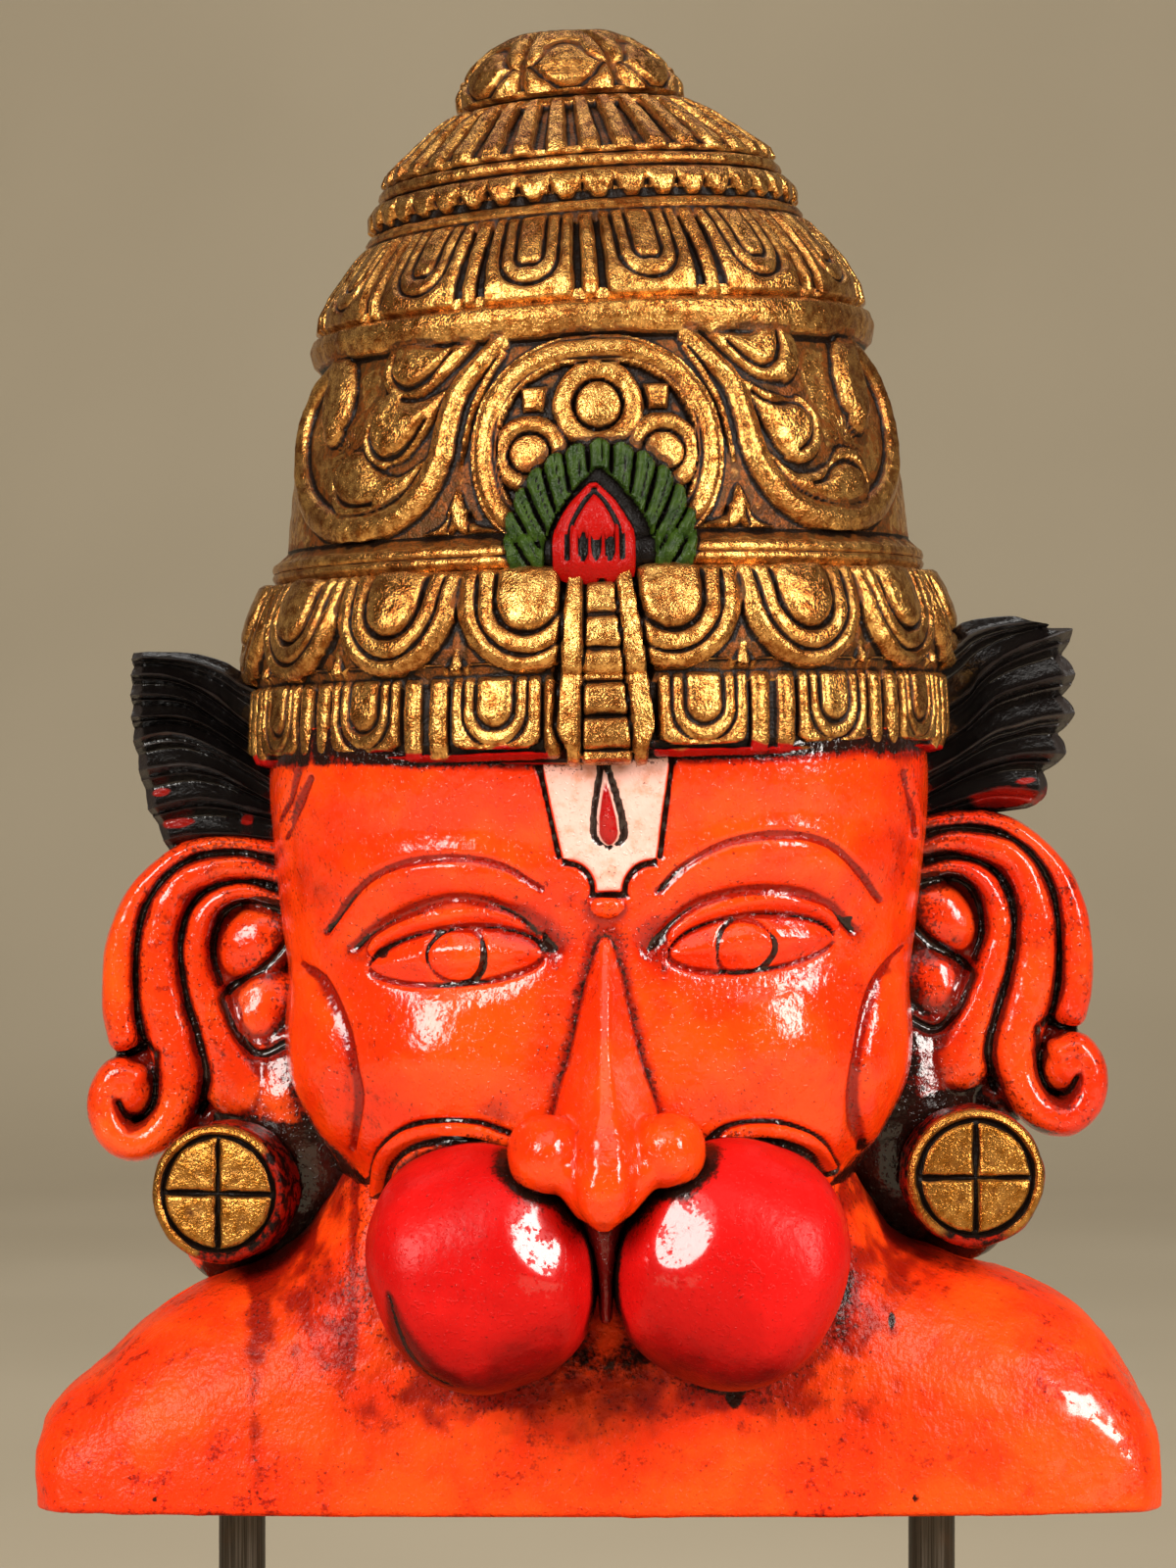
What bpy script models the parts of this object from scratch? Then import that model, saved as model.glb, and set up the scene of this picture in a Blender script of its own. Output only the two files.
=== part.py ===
"""A carved and painted wooden Hanuman bust, held up on two steel rods in a wooden foot.

The bust is one carving with a flat back: tiered crown, face, ball cheeks, ears with curls,
disc earrings, tufts of hair and the upper chest. It is drawn in carver's units, a millimetre
each at the real height: x to the viewer's right, depth forward from the flat back, z up from
the cut underside. Its forms overlap, are fused into one skin, and are then cut flat behind
and below and drilled for the rods.
"""

import math

import bmesh
import bpy
import numpy as np

# Driving sizes, in metres
BUST_HEIGHT = 0.3163
ROD_DIAMETER = 0.010
ROD_SPACING = 0.148
ROD_SHIFT = -0.0026
ROD_FREE_LENGTH = 0.095
ROD_DEPTH = 0.022
BUST_SOCKET_DEPTH = 0.028
BASE_SOCKET_DEPTH = 0.016
BASE_LENGTH = 0.230
BASE_WIDTH = 0.120
BASE_THICKNESS = 0.024
BASE_EDGE_ROUND = 0.004
BACK_BEHIND_CENTRE = 0.026
FIT_GAP = 0.0003

# How finely the carving is made
FUSE_CELL = 0.0008
CARVING_TRIANGLES = 9100
FORM_STEP = 1.0

# Crown, in carver's units: its lean, where it starts on the brow, and how tall each tier is
CROWN_LEAN = -6.5
CROWN_FOOT = 159.0
RIM_HEIGHT = 17.4
LEAF_HEIGHT = 22.0
RING_HEIGHT = 5.4
DRUM_HEIGHT = 43.8
TORUS_HEIGHT = 6.6
PANEL_HEIGHT = 19.4
NOTCH_HEIGHT = 12.8
SKIRT_HEIGHT = 15.0
BUD_HEIGHT = 14.9

# The tiers stand on one another
LEAF_FOOT = CROWN_FOOT + RIM_HEIGHT
RING_FOOT = LEAF_FOOT + LEAF_HEIGHT
DRUM_FOOT = RING_FOOT + RING_HEIGHT
DRUM_TOP = DRUM_FOOT + DRUM_HEIGHT
PANEL_FOOT = DRUM_TOP + TORUS_HEIGHT
PANEL_TOP = PANEL_FOOT + PANEL_HEIGHT
SKIRT_FOOT = PANEL_TOP + NOTCH_HEIGHT
BUD_FOOT = SKIRT_FOOT + SKIRT_HEIGHT
CROWN_TIP = BUD_FOOT + BUD_HEIGHT

# One carver's unit, and how far the forms run into the waste that is cut off
UNIT = BUST_HEIGHT / CROWN_TIP
WASTE = 2.0

BASE_TOP = BASE_THICKNESS
BUST_FOOT = BASE_TOP + ROD_FREE_LENGTH


def ramp(low, high, value):
    """Rise smoothly from 0 at low to 1 at high."""
    share = np.clip((value - low) / (high - low), 0.0, 1.0)
    return share * share * (3.0 - 2.0 * share)


def groove(distance, width):
    """A rounded cut, 1 deep on its line."""
    return np.exp(-((distance / width) ** 2))


def dome(distance, radius):
    """A round swelling, 1 high in the middle and 0 at its radius."""
    return np.sqrt(np.clip(1.0 - (distance / radius) ** 2, 0.0, 1.0))


def smooth_path(points, steps):
    """A curve through the points, with the given number of steps in each span."""
    knots = np.array(points, dtype=float)
    padded = np.vstack([2 * knots[0] - knots[1], knots, 2 * knots[-1] - knots[-2]])
    curve = []
    for index in range(1, len(padded) - 2):
        before, start, end, after = padded[index - 1:index + 3]
        for share in np.arange(steps) / steps:
            bend = 2 * start + (end - before) * share
            bend = bend + (2 * before - 5 * start + 4 * end - after) * share ** 2
            bend = bend + (3 * start - before - 3 * end + after) * share ** 3
            curve.append(bend / 2)
    curve.append(knots[-1])
    return np.array(curve)


def path_distance(across, up, path):
    """The distance from each place to a path, and how far along it the nearest point is."""
    best = np.full(np.shape(across), 1e9)
    along = np.zeros(np.shape(across))
    last = len(path) - 1
    for index in range(last):
        start = path[index]
        run = path[index + 1] - start
        share = ((across - start[0]) * run[0] + (up - start[1]) * run[1]) / (run @ run + 1e-12)
        share = np.clip(share, 0.0, 1.0)
        gap = np.hypot(across - start[0] - share * run[0], up - start[1] - share * run[1])
        nearer = gap < best
        best = np.where(nearer, gap, best)
        along = np.where(nearer, (index + share) / last, along)
    return best, along


def u_shape(across, up, half_width, foot):
    """The distance to the edge of a U that is open at the top, negative inside it."""
    centre = foot + half_width
    below = np.hypot(across, up - centre) - half_width
    return np.where(up > centre, np.abs(across) - half_width, below)


def repeat(angle, first, pitch):
    """The angle from the middle of the nearest copy, with copies on both sides of the front."""
    return (np.abs(angle) - first + pitch / 2) % pitch - pitch / 2


# The outline of each tier: radius, and height as a share of the tier's own height
TIERS = [
    (RIM_HEIGHT, [(73.0, 0.0), (75.8, 0.034), (76.8, 0.172), (76.9, 0.575), (76.3, 0.943)]),
    (LEAF_HEIGHT, [(74.6, 0.0), (77.2, 0.055), (77.6, 0.255), (76.6, 0.527), (74.4, 0.782), (72.4, 0.964)]),
    (RING_HEIGHT, [(70.2, 0.0), (71.2, 0.259), (71.5, 0.519), (71.0, 0.815)]),
    (DRUM_HEIGHT, [(69.6, 0.0), (70.2, 0.041), (69.8, 0.142), (68.4, 0.393), (66.4, 0.621), (63.6, 0.849)]),
    (TORUS_HEIGHT, [(61.0, 0.0), (61.4, 0.212), (61.8, 0.515), (61.0, 0.848)]),
    (PANEL_HEIGHT, [(58.8, 0.0), (60.2, 0.062), (59.6, 0.247), (57.0, 0.485), (52.6, 0.784), (49.2, 0.969)]),
    (NOTCH_HEIGHT, [(47.4, 0.0), (48.0, 0.078), (47.0, 0.18), (45.6, 0.219), (47.2, 0.313), (47.0, 0.547),
                    (45.4, 0.703), (43.2, 0.75), (44.6, 0.844), (44.2, 0.953)]),
    (SKIRT_HEIGHT, [(42.4, 0.0), (44.4, 0.053), (43.4, 0.2), (34.6, 0.613), (27.0, 0.933)]),
    (BUD_HEIGHT, [(22.8, 0.0), (24.6, 0.067), (24.2, 0.228), (19.6, 0.55), (12.6, 0.846), (5.0, 1.0)]),
]


def crown_profile():
    """The crown's outline as radius and height, from its rim to its tip."""
    outline = []
    foot = CROWN_FOOT
    for height, points in TIERS:
        outline.extend((radius, foot + share * height) for radius, share in points)
        foot += height
    return np.array(outline)


def resample(profile, step):
    """Points evenly spaced along an outline."""
    lengths = np.hypot(*np.diff(profile, axis=0).T)
    travelled = np.concatenate([[0.0], np.cumsum(lengths)])
    places = np.linspace(0.0, travelled[-1], int(travelled[-1] / step) + 1)
    return np.column_stack([np.interp(places, travelled, profile[:, k]) for k in range(2)])


def rim_relief(angle, up):
    """The rim's panels, each a U within a U, with a pair of ribs between them."""
    across = repeat(angle, 16.4, 23.6) * 1.33
    edge = np.abs(across) - 10.4
    cut = 0.9 * groove(u_shape(across, up, 7.0, CROWN_FOOT + 3.6), 0.8)
    cut = cut + 0.8 * groove(u_shape(across, up, 3.6, CROWN_FOOT + 7.4), 0.7)
    ribs = 1.3 * dome(np.abs(np.abs(across) - 13.6), 1.3)
    relief = np.where(edge < 0, -cut, -1.5 + ribs)
    return relief * ramp(CROWN_FOOT, CROWN_FOOT + 1.4, up) * ramp(LEAF_FOOT, LEAF_FOOT - 1.0, up)


def leaf_relief(angle, up):
    """A row of hanging leaves, each with two rims round its middle."""
    across = repeat(angle, 11.2, 23.3) * 1.31
    edge = u_shape(across, up, 14.6, LEAF_FOOT + 0.2)
    cut = 1.0 * groove(u_shape(across, up, 10.6, LEAF_FOOT + 4.0), 0.8)
    cut = cut + 1.1 * groove(u_shape(across, up, 6.2, LEAF_FOOT + 8.2), 0.8)
    middle = 0.9 * dome(np.hypot(across, up - LEAF_FOOT - 15.6), 6.0)
    relief = np.where(edge < 0, 0.8 * ramp(0.0, -1.6, edge) - cut + middle, -2.2 * ramp(0.0, 0.8, edge))
    return relief * ramp(LEAF_FOOT, LEAF_FOOT + 0.8, up) * ramp(RING_FOOT, RING_FOOT - 1.4, up)


def strap_relief(across, up):
    """The ladder strap that widens from the lotus down to the rim."""
    share = np.clip((RING_FOOT - up) / (RING_FOOT - CROWN_FOOT), 0.0, 1.0)
    outer = 4.6 + 6.0 * share
    inner = 2.6 + 2.2 * share
    bars = 1.4 * dome((up - CROWN_FOOT - 4.0) % 5.4 - 2.7, 2.0)
    height = np.where(np.abs(across) < inner, 0.6 + bars, 2.2)
    height = height - 0.8 * groove(np.abs(across) - inner, 0.5)
    inside = ramp(0.0, -0.7, np.abs(across) - outer) * (up < RING_FOOT + 1.0)
    return inside, height


STEM = [(5, 43.2), (15, 41.4), (22.5, 36), (27, 28.2), (29.2, 18.7), (32, 10.8), (38, 5), (46, 2.6),
        (55, 3.2), (64, 7.6), (71, 15.7), (72, 24.7), (65, 29.8), (60, 25.8)]
PADS = [(38, 36.8, 6.6, 4.4, -35), (39, 23.4, 6.4, 4.8, -50), (50.5, 13.6, 5.6, 4.2, -10), (61, 36.6, 4.6, 3.4, 20)]
ARC_PER_DEGREE = 1.152
ARCH_RISE = 14.4


def scroll_relief(angle, height):
    """The drum's carving: an arch round a flower, and a leafy scroll on each side of it."""
    up = height - DRUM_FOOT
    across = np.abs(angle) * ARC_PER_DEGREE
    relief = np.full(np.shape(angle), -1.7)
    stem_path = smooth_path([(turn * ARC_PER_DEGREE, rise) for turn, rise in STEM], 4)
    gap, along = path_distance(across, up, stem_path)
    width = 3.6 - 1.2 * along
    relief = np.maximum(relief, -1.7 + 2.3 * dome(gap, width) - 0.6 * groove(gap - 1.0, 0.45))
    for turn, rise, long, short, tilt in PADS:
        lean = math.radians(tilt)
        aside = across - turn * ARC_PER_DEGREE
        first = aside * math.cos(lean) + (up - rise) * math.sin(lean)
        second = (up - rise) * math.cos(lean) - aside * math.sin(lean)
        spread = np.hypot(first / long, second / short)
        pad = -1.7 + 2.2 * dome(spread, 1.35) - 0.8 * groove(spread - 0.62, 0.13)
        relief = np.maximum(relief, pad)
    arch = np.hypot(across, up - ARCH_RISE)
    relief = np.maximum(relief, -1.7 + 2.6 * dome(arch - 26.4, 2.6))
    relief = np.where(arch < 23.2, -1.9, relief)
    disc = np.hypot(across, up - ARCH_RISE - 15.2)
    flower = np.maximum(2.4 * dome(disc, 5.6), 2.2 * dome(disc - 8.2, 2.2))
    petal = np.hypot((across - 13.4) * 0.94, (up - ARCH_RISE - 4.4) * 0.9)
    flower = np.maximum(flower, np.maximum(2.0 * dome(petal, 4.6), 2.1 * dome(petal - 7.4, 2.2)))
    bit = np.hypot(across - 13.6, up - ARCH_RISE - 17.4)
    flower = np.maximum(flower, 1.8 * dome(bit, 3.0))
    relief = np.where(arch < 23.2, relief + flower, relief)
    wedge = np.hypot((across - 27.6) * 0.8, up - 4.8)
    relief = np.maximum(relief, -1.7 + 1.6 * dome(wedge, 3.4))
    return relief * ramp(0.0, 1.2, up) * ramp(DRUM_HEIGHT, DRUM_HEIGHT - 1.6, up)


def lotus_relief(across, up):
    """The fan of green leaves and the red bud at the foot of the arch."""
    rise = up - RING_FOOT
    turn = np.degrees(np.arctan2(across, rise - 1.2))
    reach = np.hypot(across / 17.6, (rise - 1.2) / 24.4)
    scallop = 0.05 * np.abs(np.cos(np.radians(turn * 180 / 26)))
    inside = ramp(0.0, -0.05, reach - 0.95 - scallop) * (rise > 0)
    pleats = 0.5 * groove((turn + 4.3) % 8.6 - 4.3, 1.3)
    bud = np.hypot(across / 9.4, (rise - 8.6) / (8.0 + 5.0 * np.clip((rise - 8.6) / 12, 0, 1)))
    height = 3.2 - pleats + 2.6 * dome(bud, 1.0)
    return inside, height


def panel_relief(angle, up):
    """The upper tier's square panels with their ribs."""
    across = repeat(angle, 12.8, 25.6) * 0.98
    edge = np.abs(across) - 8.8
    cut = 0.9 * groove(u_shape(across, up, 5.6, PANEL_FOOT + 4.0), 0.75)
    cut = cut + 0.9 * groove(u_shape(across, up, 2.5, PANEL_FOOT + 7.8), 0.7)
    ribs = 1.5 * dome(np.abs(np.abs(across) - 11.0), 1.1)
    relief = np.where(edge < 0, -cut, -1.7 + ribs)
    return relief * ramp(PANEL_FOOT, PANEL_FOOT + 1.2, up) * ramp(PANEL_TOP, PANEL_TOP - 0.8, up)


def top_relief(angle, up):
    """The notched ring, the fluted skirt and the petalled bud."""
    low = PANEL_TOP + NOTCH_HEIGHT * 0.22
    high = PANEL_TOP + NOTCH_HEIGHT * 0.75
    notch = groove((angle + 4.3) % 8.6 - 4.3, 2.0) * ramp(low, low + 1.0, up) * ramp(high, high - 1.0, up)
    flute = groove((angle - 3.5) % 10.0 - 5.0, 2.3)
    flute = flute * ramp(SKIRT_FOOT + 0.4, SKIRT_FOOT + 2.0, up) * ramp(BUD_FOOT, BUD_FOOT - 1.8, up)
    turn = (angle + 26) % 52 - 26
    rise = up - BUD_FOOT
    split = groove(26 - np.abs(turn), 3.2) * ramp(0.0, 2.0, rise)
    drop = np.hypot(turn * 0.36 * ramp(18.6, -1.4, rise), (rise - 7.2) * 0.8)
    tear = groove(drop - 4.2, 0.8) * ramp(0.0, 1.6, rise)
    return -1.8 * notch - 2.0 * flute - 2.0 * split - 0.9 * tear


def crown_relief(angle, radius, up):
    """How far the crown's carving stands out from its outline."""
    relief = np.where(up < LEAF_FOOT, rim_relief(angle, up), 0.0)
    relief = np.where((up >= LEAF_FOOT) & (up < RING_FOOT), leaf_relief(angle, up), relief)
    relief = np.where((up >= DRUM_FOOT) & (up < DRUM_TOP), scroll_relief(angle, up), relief)
    relief = np.where((up >= PANEL_FOOT) & (up < PANEL_TOP), panel_relief(angle, up), relief)
    relief = np.where(up >= PANEL_TOP, top_relief(angle, up), relief)
    across = np.radians(angle) * radius
    inside, height = strap_relief(across, up)
    relief = relief * (1 - inside) + height * inside
    inside, height = lotus_relief(across, up)
    return relief * (1 - inside) + height * inside


def tilt_by_hand(across, up):
    """The crown leans to the viewer's left, and its tiers climb a little to the right."""
    share = (up - CROWN_FOOT) / (CROWN_TIP - CROWN_FOOT)
    climb = np.radians(1.4 + 2.8 * ramp(0.4, 0.744, share))
    lean = CROWN_LEAN * np.clip((share - 0.038) / 0.89, 0.0, 1.2) ** 3
    return across + lean, up + across * np.tan(climb)


def crown_rows(step):
    """Closed loops round the crown, from its rim to its tip."""
    outline = resample(crown_profile(), step)
    slope = np.gradient(outline, axis=0)
    slope = slope / np.hypot(*slope.T)[:, None]
    columns = int(math.pi * 77 / step)
    angle = np.linspace(-90.0, 90.0, columns)[None, :]
    radius = outline[:, 0][:, None]
    up = outline[:, 1][:, None]
    relief = crown_relief(angle + 0 * radius, radius + 0 * angle, up + 0 * angle)
    radius = np.maximum(radius + relief * slope[:, 1][:, None], 0.5)
    height = up - relief * slope[:, 0][:, None]
    across = radius * np.sin(np.radians(angle))
    depth = radius * np.cos(np.radians(angle))
    across, height = tilt_by_hand(across, height)
    front = np.stack([across, depth, height], axis=2)
    return with_flat_back(front)


def with_flat_back(front):
    """Close each open row behind the carving with two corners in the waste."""
    corners = front[:, [-1, 0], :].copy()
    corners[:, :, 1] = -WASTE
    return np.concatenate([front, corners], axis=1)


HEAD_LEVELS = [40.0, 52.0, 62.0, 72.0, 80.0, 90.0, 100.0, 112.0, 124.0, 140.0, 156.0, 172.0]
HEAD_HALF_WIDTHS = [48.0, 51.0, 53.5, 57.0, 62.4, 67.2, 68.4, 67.6, 69.0, 70.8, 71.6, 70.0]
HEAD_DEPTHS = [42.0, 46.0, 52.0, 57.0, 60.0, 61.5, 62.0, 62.5, 63.5, 65.5, 66.5, 64.0]
HEAD_SQUARENESS = 2.7

LEFT_EYE = {"inner": (-11.6, 118.4), "outer": (-48.6, 116.0), "rise": 6.4, "drop": 5.0, "iris": (-30.2, 118.4)}
RIGHT_EYE = {"inner": (14.0, 119.0), "outer": (51.4, 122.4), "rise": 6.4, "drop": 5.4, "iris": (31.0, 119.8)}
IRIS_RADIUS = 6.0
FACE_LINES = {
    "left brow": [(-57.6, 123.6), (-46.0, 134.0), (-30.2, 139.0), (-16.0, 135.6), (-9.0, 131.0)],
    "right brow": [(13.2, 132.2), (24.0, 140.2), (36.0, 143.4), (48.0, 139.4), (59.4, 130.4)],
    "left lid": [(-51.2, 119.4), (-43.0, 127.2), (-31.0, 130.6), (-19.0, 127.0), (-9.4, 119.6)],
    "right lid": [(11.4, 120.0), (24.0, 128.6), (37.0, 132.0), (47.0, 129.6), (53.0, 123.6)],
    "left jaw": [(-63.6, 117.0), (-55.6, 105.0), (-52.4, 91.0), (-54.6, 75.0)],
    "right jaw": [(65.0, 118.4), (57.0, 103.0), (54.6, 90.4), (56.6, 77.0)],
    "left muzzle": [(-47.0, 74.0), (-41.0, 81.6), (-31.0, 84.4), (-19.4, 82.0)],
    "right muzzle": [(23.4, 79.6), (30.0, 82.6), (38.6, 83.2), (49.0, 78.4)],
}


def eye_relief(across, up, eye):
    """A swelling eyeball between its lids, with the ring of the iris."""
    (inner_x, inner_z), (outer_x, outer_z) = eye["inner"], eye["outer"]
    share = np.clip((across - inner_x) / (outer_x - inner_x), 0.0, 1.0)
    beyond = (across - inner_x) / (outer_x - inner_x)
    arc = np.sqrt(4 * share * (1 - share) + 1e-9)
    middle = inner_z + (outer_z - inner_z) * share
    edge = np.minimum(middle + eye["rise"] * arc - up, up - middle + eye["drop"] * arc)
    within = (beyond > 0) & (beyond < 1)
    edge = np.where(within, edge, -9.0)
    ball = 1.8 * ramp(0.0, 5.0, edge) - 0.9 * groove(edge, 0.7)
    ring = np.hypot(across - eye["iris"][0], up - eye["iris"][1])
    ball = ball - 0.7 * groove(ring - IRIS_RADIUS, 0.6) * (edge > 0.4)
    return ball + 0.9 * groove(edge + 2.2, 1.6) * (up > middle)


def nose_height(across, up):
    """The nose's height above the face: a ridge, two nostrils and the wings down to the tip."""
    levels = [62.0, 68.0, 74.0, 82.0, 90.0, 104.0, 114.0, 122.0]
    height = np.interp(up, levels, [28.0, 29.5, 28.0, 22.5, 17.5, 10.5, 5.0, 0.0])
    half = np.interp(up, levels, [4.4, 5.4, 5.8, 6.4, 9.0, 7.6, 5.6, 4.4])
    nose = height * dome(across - 1.0, half) ** 0.8
    for side, centre, radius in ((-1, -9.8, 8.4), (1, 11.8, 8.0)):
        spread = np.hypot(across - centre, (up - 78.6) * 0.84)
        nose = np.maximum(nose, 9.0 * ramp(0.0, 0.8, radius - spread) + 12.5 * dome(spread, radius))
        wing, along = path_distance(across, up, np.array([(centre, 75.0), (1.0 + side * 1.5, 67.0)]))
        nose = np.maximum(nose, ramp(0.0, 0.8, 6.4 - wing) * (11.0 + 9.0 * along) + 9.0 * dome(wing, 6.4))
    under = 62.4 + 0.44 * np.abs(across - 1.0)
    return nose * ramp(-0.8, 0.8, up - under)


def tilak_edge(across, up):
    """The distance to the edge of the forehead mark, negative inside it."""
    half = np.interp(up, [132.0, 136.0, 136.6, 140.6, 162.0], [3.4, 5.6, 9.4, 10.2, 13.4])
    return np.maximum(np.abs(across - 1.2) - half, 132.0 - up)


def face_relief(across, up):
    """How far the face's carving stands out from the head."""
    relief = 0.0 * across
    for name, points in FACE_LINES.items():
        gap, along = path_distance(across, up, smooth_path(points, 5))
        relief = relief - 0.9 * groove(gap, 0.8)
        if "jaw" in name:
            beyond = np.abs(across) - np.abs(np.interp(up, *np.array(points[::-1]).T[::-1]))
            relief = relief + 1.6 * ramp(0.0, 5.0, beyond) * ramp(120.0, 110.0, up) * ramp(70.0, 80.0, up)
    for eye in (LEFT_EYE, RIGHT_EYE):
        hollow = np.hypot((across - eye["iris"][0]) / 24.0, (up - 121.0) / 13.0)
        relief = relief - 2.2 * ramp(1.1, 0.4, hollow)
        relief = relief + eye_relief(across, up, eye)
    for centre, level in ((-32.0, 139.0), (36.0, 142.0)):
        brow = np.hypot((across - centre) / 26.0, (up - level) / 9.0)
        relief = relief + 1.6 * ramp(1.2, 0.2, brow)
    edge = tilak_edge(across, up)
    relief = relief + 0.7 * ramp(0.2, -0.8, edge) - 0.8 * groove(edge - 0.5, 0.6)
    drop = np.hypot((across - 2.4) / (0.45 + 0.55 * ramp(160.0, 143.0, up)), (up - 146.0) / 3.4)
    relief = relief + 0.8 * dome(drop, 3.0) - 0.6 * groove(drop - 3.3, 0.5) * (up < 160)
    relief = relief + 1.4 * dome(np.hypot(across - 1.2, up - 128.6), 2.8)
    nose = nose_height(across, up)
    return np.where(nose > 0.3, np.maximum(relief, nose), relief)


def head_rows(step):
    """Closed loops round the head, from inside the chest to inside the crown."""
    up = np.arange(HEAD_LEVELS[0], HEAD_LEVELS[-1], step)[:, None]
    half = smooth_levels(up, HEAD_HALF_WIDTHS)
    deep = smooth_levels(up, HEAD_DEPTHS)
    turn = np.linspace(math.pi, 0.0, int(220 / step))[None, :]
    power = 2.0 / HEAD_SQUARENESS
    across = half * np.sign(np.cos(turn)) * np.abs(np.cos(turn)) ** power
    depth = deep * np.abs(np.sin(turn)) ** power
    normal = np.stack([across / half ** 2, depth / deep ** 2], axis=0)
    normal = normal / (np.hypot(*normal) + 1e-9)
    relief = face_relief(across, up + 0 * across)
    front = np.stack([across + relief * normal[0], depth + relief * normal[1], up + 0 * across], axis=2)
    return with_flat_back(front)


def smooth_levels(up, values):
    """Sizes given at the head's levels, eased between them."""
    curve = smooth_path(list(zip(HEAD_LEVELS, values)), 8)
    return np.interp(up, curve[:, 0], curve[:, 1])


CHEST_SIDES = [0.0, 44.0, 52.0, 58.0, 64.0, 74.0, 86.0, 96.0, 104.0, 111.0, 116.0, 119.4, 121.0]
CHEST_TOPS = [88.0, 86.0, 77.0, 66.0, 57.5, 51.0, 47.4, 42.6, 36.6, 29.0, 22.0, 14.6, 9.0]


def chest_rows(step):
    """Closed loops across the chest and neck, from one end to the other."""
    rows = []
    outline = smooth_path(list(zip(CHEST_SIDES, CHEST_TOPS)), 6)
    for across in np.linspace(-121.0, 121.0, int(242 / step)):
        side = abs(across)
        top = np.interp(side, outline[:, 0], outline[:, 1])
        deep = 47.0 - 8.0 * (side / 121.0) ** 3 - 9.0 * ramp(112.0, 122.0, side) ** 2
        foot = 2.0 * ramp(117.0, 121.0, side)
        turn = np.linspace(0.0, math.pi / 2, int(90 / step))
        depth = deep * np.cos(turn) ** 0.72
        height = foot + 5.0 + (top - 5.0 - foot) * np.sin(turn) ** 0.72
        corner = np.linspace(-math.pi / 2, 0.0, 6)[:-1]
        depth = np.concatenate([[-WASTE], deep - 5.0 + 5.0 * np.cos(corner), depth, [-WASTE]])
        height = np.concatenate([[-WASTE], foot + 5.0 + 5.0 * np.sin(corner), height, [top]])
        height[1] = -WASTE if foot < 0.1 else height[1]
        rows.append(np.column_stack([np.full(len(depth), across), depth, height]))
    return np.array(rows)


def ellipsoid_rows(centre, radii, tilt, count=26, fullness=1.0):
    """Closed loops of a ball, turned by tilt degrees as the viewer sees it, squarer below 1."""
    rows = []
    lean = math.radians(tilt)
    for level in np.linspace(-88.0, 88.0, count):
        reach = math.cos(math.radians(level))
        turn = np.linspace(0.0, 2 * math.pi, 2 * count, endpoint=False)
        reach = reach ** fullness
        across = radii[0] * reach * np.cos(turn)
        depth = radii[1] * reach * np.sin(turn)
        height = math.sin(math.radians(level))
        up = np.full(len(turn), radii[2] * math.copysign(abs(height) ** fullness, height))
        rows.append(np.column_stack([
            centre[0] + across * math.cos(lean) - up * math.sin(lean),
            centre[1] + depth,
            centre[2] + across * math.sin(lean) + up * math.cos(lean),
        ]))
    return np.array(rows)


def strand_rows(points, widths, depth, thickness, around=14):
    """Closed loops of a fat strand that lies along points, with its half widths along it."""
    path = smooth_path(points, 5)
    share = np.linspace(0.0, 1.0, len(path))
    width = np.interp(share, np.linspace(0.0, 1.0, len(widths)), widths)
    heading = np.gradient(path, axis=0)
    heading = heading / np.hypot(*heading.T)[:, None]
    turn = np.linspace(0.0, 2 * math.pi, around, endpoint=False)
    rows = []
    for index in range(len(path)):
        ends = [(0, 0.0)] if 0 < index < len(path) - 1 else [(k, k / 4) for k in range(4)]
        if index == 0:
            ends = ends[::-1]
        for _, past in ends:
            outward = -1 if index == 0 else 1
            shrink = math.sqrt(max(1 - past ** 2, 0.05))
            centre = path[index] + heading[index] * outward * past * width[index]
            side = width[index] * shrink * np.sign(np.cos(turn)) * np.abs(np.cos(turn)) ** 0.75
            rows.append(np.column_stack([
                centre[0] + side * heading[index][1],
                depth + thickness * shrink * np.sign(np.sin(turn)) * np.abs(np.sin(turn)) ** 0.85,
                centre[1] - side * heading[index][0],
            ]))
    return np.array(rows)


EAR_BANDS = [
    ([(66, 136), (77, 140.4), (85, 140.4), (93, 137.2), (98.8, 131), (102.6, 123), (104.2, 113.4), (103.6, 104),
      (102, 98)], (2.6, 3.5, 4.2, 4.1, 3.7), 7.5),
    ([(66, 131), (77, 135), (85, 134.6), (91.6, 130.6), (95, 124), (96, 116), (95, 108), (92.6, 101), (90.4, 95),
      (90.4, 89), (93, 83), (97.6, 78.2), (103.4, 76.8), (107.4, 80.4), (107.8, 86)],
     (2.4, 3.4, 4.1, 4.1, 4.1, 4.3, 4.9, 4.9), 8.0),
    ([(64, 128), (74, 130.6), (81, 130), (86, 125.6), (87.6, 118), (87, 110), (85, 102), (82, 94.6), (77.6, 88)],
     (2.2, 3.2, 3.9, 4.1, 5.4, 6.8), 7.0),
]
EAR_PADS = [
    ((102.2, 6.0, 87.0), (5.8, 8.5, 5.8), 0), ((75.6, 4.0, 120.6), (9.6, 8.5, 7.2), -30),
    ((73.4, 4.0, 104.6), (9.4, 8.0, 10.4), 10), ((72.0, 4.0, 92.0), (13.0, 8.5, 11.4), 0),
    ((84.0, 0.0, 114.0), (18.0, 8.0, 25.0), 0), ((90.0, 0.0, 92.0), (11.0, 7.5, 14.0), 0),
    ((78.0, 0.0, 82.0), (9.0, 9.0, 12.0), 0), ((80.0, 0.0, 58.0), (12.0, 9.0, 14.0), 0),
    ((64.0, 0.0, 78.0), (20.0, 17.0, 32.0), 0),
]
RIGHT_EAR_LIFT = 5.4
RIGHT_EAR_SHIFT = -0.6
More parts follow.
